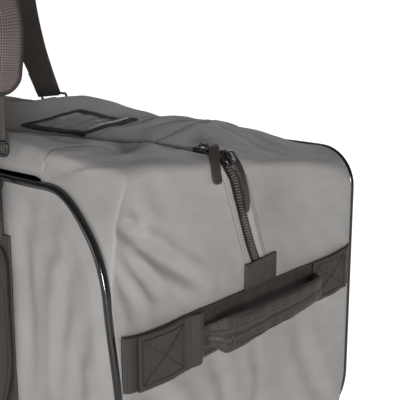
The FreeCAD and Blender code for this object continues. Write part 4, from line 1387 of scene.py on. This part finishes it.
def ring_corner_parts(bow_turn, bow_drop):
    """Tab, keeper, ring and snap hook at the front near corner, the hook's bow turned and lowered."""
    tab_out, thread_out = 185.1, 185.2

    def tab_place(u, v):
        z = 309.0 + 53.0 * u
        x = HAUL_X + (2 * v - 1) * (19.0 - 1.5 * ease((u - 0.7) / 0.3))
        return stack(x, -(tab_out - 4.0 * ease((u - 0.82) / 0.18)), z)

    tab = sheet_mesh(30, 12, tab_place, (53, 38))
    bmesh.ops.reverse_faces(tab, faces=tab.faces)
    fold = np.array([(185.8, 321), (186.6, 325), (187.6, 330), (186.2, 334.5), (187.2, 338.2), (189.6, 338.8),
                     (191.0, 335.6), (190.2, 330), (188.2, 325), (187.0, 321)])
    at = run_along(fold)

    def keeper_place(u, v):
        d = u * at[-1]
        return stack(HAUL_X + (2 * v - 1) * 17.5, -smooth_line(d, at, fold[:, 0]), smooth_line(d, at, fold[:, 1]))

    keeper = sheet_mesh(48, 10, keeper_place, (at[-1], 35))
    bmesh.ops.reverse_faces(keeper, faces=keeper.faces)
    ring_line = rounded_ring(22.0, 18.0, 6.0) + np.array([HAUL_X, -RING_Y, 353.0])
    ring = tube(ring_line, 2.1, 12)
    eye_line = [(0, -6.2 * math.sin(t), 6.2 * math.cos(t)) for t in np.linspace(0, 2 * math.pi, 29)[:-1]]
    eye = tube(np.array(eye_line) + np.array([HAUL_X, -RING_Y, RING_Z]), 1.9, 10)
    barrel = bmesh.new()
    profile = [(0.0, 376.6), (3.2, 376.8), (4.2, 378.2), (4.2, 380.4), (3.0, 381.2), (3.0, 382.6), (5.2, 383.4),
               (5.4, 386.6), (3.6, 388.0), (0.0, 388.4)]
    rim = [barrel.verts.new((r, 0, z)) for r, z in profile]
    edges = [barrel.edges.new(pair) for pair in zip(rim[:-1], rim[1:])]
    bmesh.ops.spin(barrel, geom=rim + edges, cent=(0, 0, 0), axis=(0, 0, 1), angle=2 * math.pi, steps=20,
                   use_merge=True)
    bmesh.ops.remove_doubles(barrel, verts=barrel.verts, dist=0.01)
    bmesh.ops.recalc_face_normals(barrel, faces=barrel.faces)
    bmesh.ops.translate(barrel, vec=(HAUL_X, -RING_Y, 0), verts=barrel.verts)
    bow_line = rounded_ring(27.6, 6.2, 3.2)
    bow = tube(bow_line, 1.8, 10)
    bmesh.ops.rotate(bow, cent=(0, 0, 0), matrix=Matrix.Rotation(math.radians(bow_turn), 3, "Z"), verts=bow.verts)
    bmesh.ops.translate(bow, vec=(HAUL_X, -RING_Y, 394.6 - bow_drop), verts=bow.verts)
    gate = slab([(1.6, -4.0), (-1.6, -4.0), (-1.6, 4.4), (1.6, 4.4)], -1.2, 1.2, 0.4)
    bmesh.ops.translate(gate, vec=(HAUL_X, -RING_Y - 6.4, RING_Z + 1.0), verts=gate.verts)
    thread = []
    box = [(-15, 312), (15, 312), (15, 320), (-15, 320), (-15, 312)]
    for a, b in zip(box[:-1], box[1:]):
        line = np.linspace([HAUL_X + a[0], -thread_out, a[1]], [HAUL_X + b[0], -thread_out, b[1]], 8)
        thread.append(stitch_run(line, (0, -1, 0), 3.4, 2.3, 0.4))
    return {"tabs": (tab, WEBBING, "webbing", "bag", "ring_tabs", WEB_SOLID),
            "keepers": (keeper, WEBBING, "webbing", "bag", "ring_keepers", 1.5),
            "rings": (ring, HARDWARE, "hardware", "bag", "strap_rings", 0),
            "snap_hooks_body": (joined([eye, barrel, bow, gate]), HARDWARE, "hardware", "shoulder_strap",
                                "snap_hooks", 0),
            "tab_stitching": (joined(thread), THREAD, "webbing", "bag", None, 0)}


# The front hook's bow has swung round and the back one hangs lower.
front_set, back_set = ring_corner_parts(18, 0), ring_corner_parts(4, 5.4)
for label, (bm, material, slot_name, body, node, thick) in front_set.items():
    other = mirrored_to(back_set[label][0], -1, -1)
    pair = finish_mesh(joined([bm, other]), "strap_" + label, material, body)
    if thick:
        thicken(pair, thick)
        soften(pair, 0.4)
    if node:
        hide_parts(node)


# ------------------------------------------------------------------ carry handles
HANDLE_FOOT = 95.0        # middle of the webbing at the handle's lowest


def handle_path():
    """Middle line of a hanging handle in the XZ plane, with its outward direction."""
    count = 150
    r, foot, top, half = 95.0, HANDLE_FOOT, 302.0, HAUL_X
    leg, base = top - foot - r, 2 * (half - r)
    total = 2 * leg + base + math.pi * r
    d = np.linspace(0, total, count + 1)
    x, z, nx, nz = (np.zeros_like(d) for _ in range(4))
    for i, t in enumerate(d):
        if t < leg:
            x[i], z[i], nx[i], nz[i] = half, top - t, 1, 0
        elif t < leg + r * math.pi / 2:
            a = (t - leg) / r
            x[i], z[i] = half - r + r * math.cos(a), foot + r - r * math.sin(a)
            nx[i], nz[i] = math.cos(a), -math.sin(a)
        elif t <= total / 2:
            x[i], z[i], nx[i], nz[i] = half - r - (t - leg - r * math.pi / 2), foot, 0, -1
        else:
            j = count - i
            x[i], z[i], nx[i], nz[i] = -x[j], z[j], -nx[j], nz[j]
    return d, x, z, nx, nz


def handle_rise(near):
    """How far a handle's webbing stands out, by the distance from its sewn end."""
    return 2.2 * ease((near - 3) / 18)


def carry_handle(word, sign):
    """Handle of doubled webbing, its ends rounded over where they are sewn to the haul straps."""
    d, x, z, nx, nz = handle_path()
    total = d[-1]
    body = word + "_handle"
    thread_y = HANDLE_Y + 1.35

    def place(u, v):
        at = u * total
        px, pz = np.interp(at, d, x), np.interp(at, d, z)
        ox, oz = np.interp(at, d, nx), np.interp(at, d, nz)
        near = np.minimum(at, total - at)
        off = (2 * v - 1) * np.maximum(WEB_HALF - round_end(near, 24), 1.0)
        wave = 0.45 * noise_field(stack(px, 0, pz), 70, 71) * ease((near - 10) / 60)
        return stack(px + ox * off, sign * (HANDLE_Y + 1.2 + handle_rise(near) + wave), pz + oz * off)

    bm = sheet_mesh(170, 10, place, (total, 50))
    if sign > 0:
        bmesh.ops.reverse_faces(bm, faces=bm.faces)
    handle = finish_mesh(bm, word + "_handle_webbing", HANDLE_WEBBING, body)
    thicken(handle, WEB_SOLID)
    soften(handle, 0.5)
    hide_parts(word + "_carry_handle")
    runs = []
    inner = slice(9, -9)      # the rows of stitches stop short of the rounded ends
    y = sign * (thread_y + handle_rise(np.minimum(d, total - d)[inner]))
    for edge in (-20.5, 20.5):
        line = stack(x[inner] + nx[inner] * edge, y, z[inner] + nz[inner] * edge)
        runs.append(stitch_run(line, (0, sign, 0), 4.6, 3.0, 0.36))
    half, high, low, sewn_z = 17, 292, 258, 302
    crossed = (((-half, high), (half, low)), ((half, high), (-half, low)),
               ((-half, high), (half, high)), ((-half, low), (half, low)))
    for x_middle in (-HAUL_X, HAUL_X):
        for a, b in crossed:
            line = np.linspace([x_middle + a[0], 0, a[1]], [x_middle + b[0], 0, b[1]], 10)
            line[:, 1] = sign * (thread_y + handle_rise(sewn_z - line[:, 2]))
            runs.append(stitch_run(line, (0, sign, 0), 3.8, 2.5, 0.4))
    finish_mesh(joined(runs), word + "_handle_stitching", THREAD, body)

    def sleeve_place(u, v):
        angle = 2 * math.pi * v
        px = (2 * u - 1) * 65.0
        end = 1 - ease((np.abs(2 * u - 1) - 0.90) / 0.1) * 0.45
        flat, full = boxy(np.cos(angle), 0.6), boxy(np.sin(angle), 0.5)
        rib = 0.3 * np.cos(px / 5.2)
        half = 29.0 * (0.9 + 0.1 * end)
        return stack(px, sign * (HANDLE_Y + 0.4) + (4.0 * end + rib) * full, HANDLE_FOOT + half * flat)

    bm = sheet_mesh(90, 40, sleeve_place, (130, 120), close_v=True)
    bmesh.ops.recalc_face_normals(bm, faces=bm.faces)
    sleeve = finish_mesh(bm, word + "_grip_sleeve", TRIM, body)
    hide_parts(word + "_handle_sleeve")
    seam_y = sign * (HANDLE_Y + 4.9)
    seams = [np.linspace([-60, seam_y, z], [60, seam_y, z], 30) for z in (HANDLE_FOOT + 15, HANDLE_FOOT - 15)]
    finish_mesh(joined([stitch_run(seam, (0, sign, 0), 4.0, 2.7, 0.4) for seam in seams]),
                word + "_sleeve_stitching", THREAD, body)


carry_handle("front", -1)
carry_handle("back", 1)


# ------------------------------------------------------------------ shoulder strap
STRAP_ROUTE = np.array([(184, -188, 391), (184, -190, 420), (182, -188, 455), (178, -181, 504), (166, -178, 535),
                        (142, -152, 580), (70, -70, 655), (-36, 26, 688), (-112, 76, 625), (-158, 110, 535),
                        (-185, 148, 470), (-191, 170, 428), (-187, 184, 391)], float)
ROUTE_AT = run_along(STRAP_ROUTE)


def route_place(d):
    """Place at a distance along the shoulder strap from its front hook."""
    return np.column_stack([smooth_line(d, ROUTE_AT, STRAP_ROUTE[:, k]) for k in range(3)])


def strap_frame(s):
    """Places on the shoulder strap, s from 0 to 1, with their directions across and outward."""
    d = s * ROUTE_AT[-1]
    spot, step = route_place(d), route_place(d + 2) - route_place(d - 2)
    step /= np.linalg.norm(step, axis=1)[:, None]
    turn = np.radians(smooth_through(s, [0, 0.06, 0.2, 0.8, 0.92, 1], [24, 36, 43, 44, 18, 4]))
    across = np.column_stack([np.cos(turn), np.sin(turn), 0 * turn])
    across -= step * np.sum(across * step, axis=1)[:, None]
    across /= np.linalg.norm(across, axis=1)[:, None]
    out = np.cross(step, across)
    away = spot - np.array([0, 0, 360.0])
    out *= np.sign(np.sum(out * away, axis=1))[:, None]
    return spot, across, out


def shoulder_webbing():
    """Strap from hook to hook, slightly cupped."""
    def place(u, v):
        spot, across, out = strap_frame(u)
        off = (2 * v - 1) * WEB_HALF
        cup = 1.2 * (2 * v - 1) ** 2
        return spot + across * off[:, None] + out * (1.2 - cup)[:, None]

    bm = sheet_mesh(170, 10, place, (ROUTE_AT[-1], 50))
    bmesh.ops.recalc_face_normals(bm, faces=bm.faces)
    strap = finish_mesh(bm, "shoulder_strap_webbing", WEBBING, "shoulder_strap")
    thicken(strap, WEB_SOLID, 0.0)
    soften(strap, 0.5)
    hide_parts("shoulder_webbing")


def strap_end(name, s0, s1):
    """Turned-back end of the strap, round the hook's bow, with its stitched box."""
    def place(u, v):
        s = s0 + (s1 - s0) * u
        spot, across, out = strap_frame(s)
        off = (2 * v - 1) * 24.6
        fall = 3.4 - 1.6 * ease(u * 1.2 if s0 < 0.5 else (1 - u) * 1.2)
        return spot + across * off[:, None] + out * (-fall)[:, None]

    bm = sheet_mesh(24, 8, place, (50, 50))
    bmesh.ops.recalc_face_normals(bm, faces=bm.faces)
    piece = finish_mesh(bm, name, WEBBING, "shoulder_strap")
    thicken(piece, 2.0, 0.0)
    soften(piece, 0.4)
    runs = []
    for edge in (-20, 20):
        s = np.linspace(s0, s1, 16)[1:-1]
        spot, across, out = strap_frame(s)
        runs.append(stitch_run(spot + across * edge + out * 2.6, out[len(s) // 2], 4.0, 2.6, 0.4))
    for s in (s0 + (s1 - s0) * 0.3, s0 + (s1 - s0) * 0.7):
        spot, across, out = strap_frame(np.array([s]))
        line = np.linspace(spot[0] - across[0] * 20, spot[0] + across[0] * 20, 8) + out[0] * 2.9
        runs.append(stitch_run(line, out[0], 4.0, 2.6, 0.4))
    finish_mesh(joined(runs), name + "_stitching", THREAD, "shoulder_strap")


def shoulder_pad():
    """Quilted pad under the strap: crowned between its bound edges, with rounded ends."""
    s0, s1 = 0.062, 0.60
    length = (s1 - s0) * ROUTE_AT[-1]
    pad_half, middle_out = 40.0, 4.4

    def outline(u):
        return pad_half - round_end(np.minimum(u, 1 - u) * length, 20.0)

    def place(u, v):
        spot, across, out = strap_frame(s0 + (s1 - s0) * u)
        angle = 2 * math.pi * v
        flat, full = boxy(np.cos(angle), 0.55), boxy(np.sin(angle), 0.5)
        filled = np.clip(np.minimum(u, 1 - u) * length / 12, 0, 1)
        crown = 4.6 * np.sqrt(filled) * (1 - 0.25 * bump(np.abs(flat) - 0.66, 0.10))
        wave = 0.5 * noise_field(spot + across * (flat * pad_half)[:, None], 60, 81)
        stands = middle_out + crown * full + wave * filled
        return spot + across * (flat * outline(u))[:, None] + out * stands[:, None]

    bm = sheet_mesh(180, 44, place, (length, 170), close_v=True)
    bmesh.ops.remove_doubles(bm, verts=bm.verts, dist=0.05)
    bmesh.ops.recalc_face_normals(bm, faces=bm.faces)
    pad = finish_mesh(bm, "shoulder_pad_cushion", PAD, "shoulder_strap")
    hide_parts("shoulder_pad")
    u = np.linspace(0.0005, 0.9995, 220)
    spot, across, out = strap_frame(s0 + (s1 - s0) * u)
    edges = [spot + across * (side * (outline(u) + 0.4))[:, None] + out * middle_out for side in (1, -1)]
    rim = np.vstack([edges[0], edges[1][::-1], edges[0][:1]])
    at = run_along(rim)
    even = np.linspace(0, at[-1], 320)[:-1]
    rim = np.column_stack([np.interp(even, at, rim[:, k]) for k in range(3)])
    finish_mesh(tube(rim, 2.0, 8), "shoulder_pad_binding", BINDING, "shoulder_strap")


shoulder_webbing()
strap_end("front_strap_turnback", 0.0, 0.045)
strap_end("back_strap_turnback", 0.955, 1.0)
shoulder_pad()


# ------------------------------------------------------------------ finishes on the carried-over nodes
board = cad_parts["base_board"].data
board.materials.clear()
board.materials.append(BOARD)
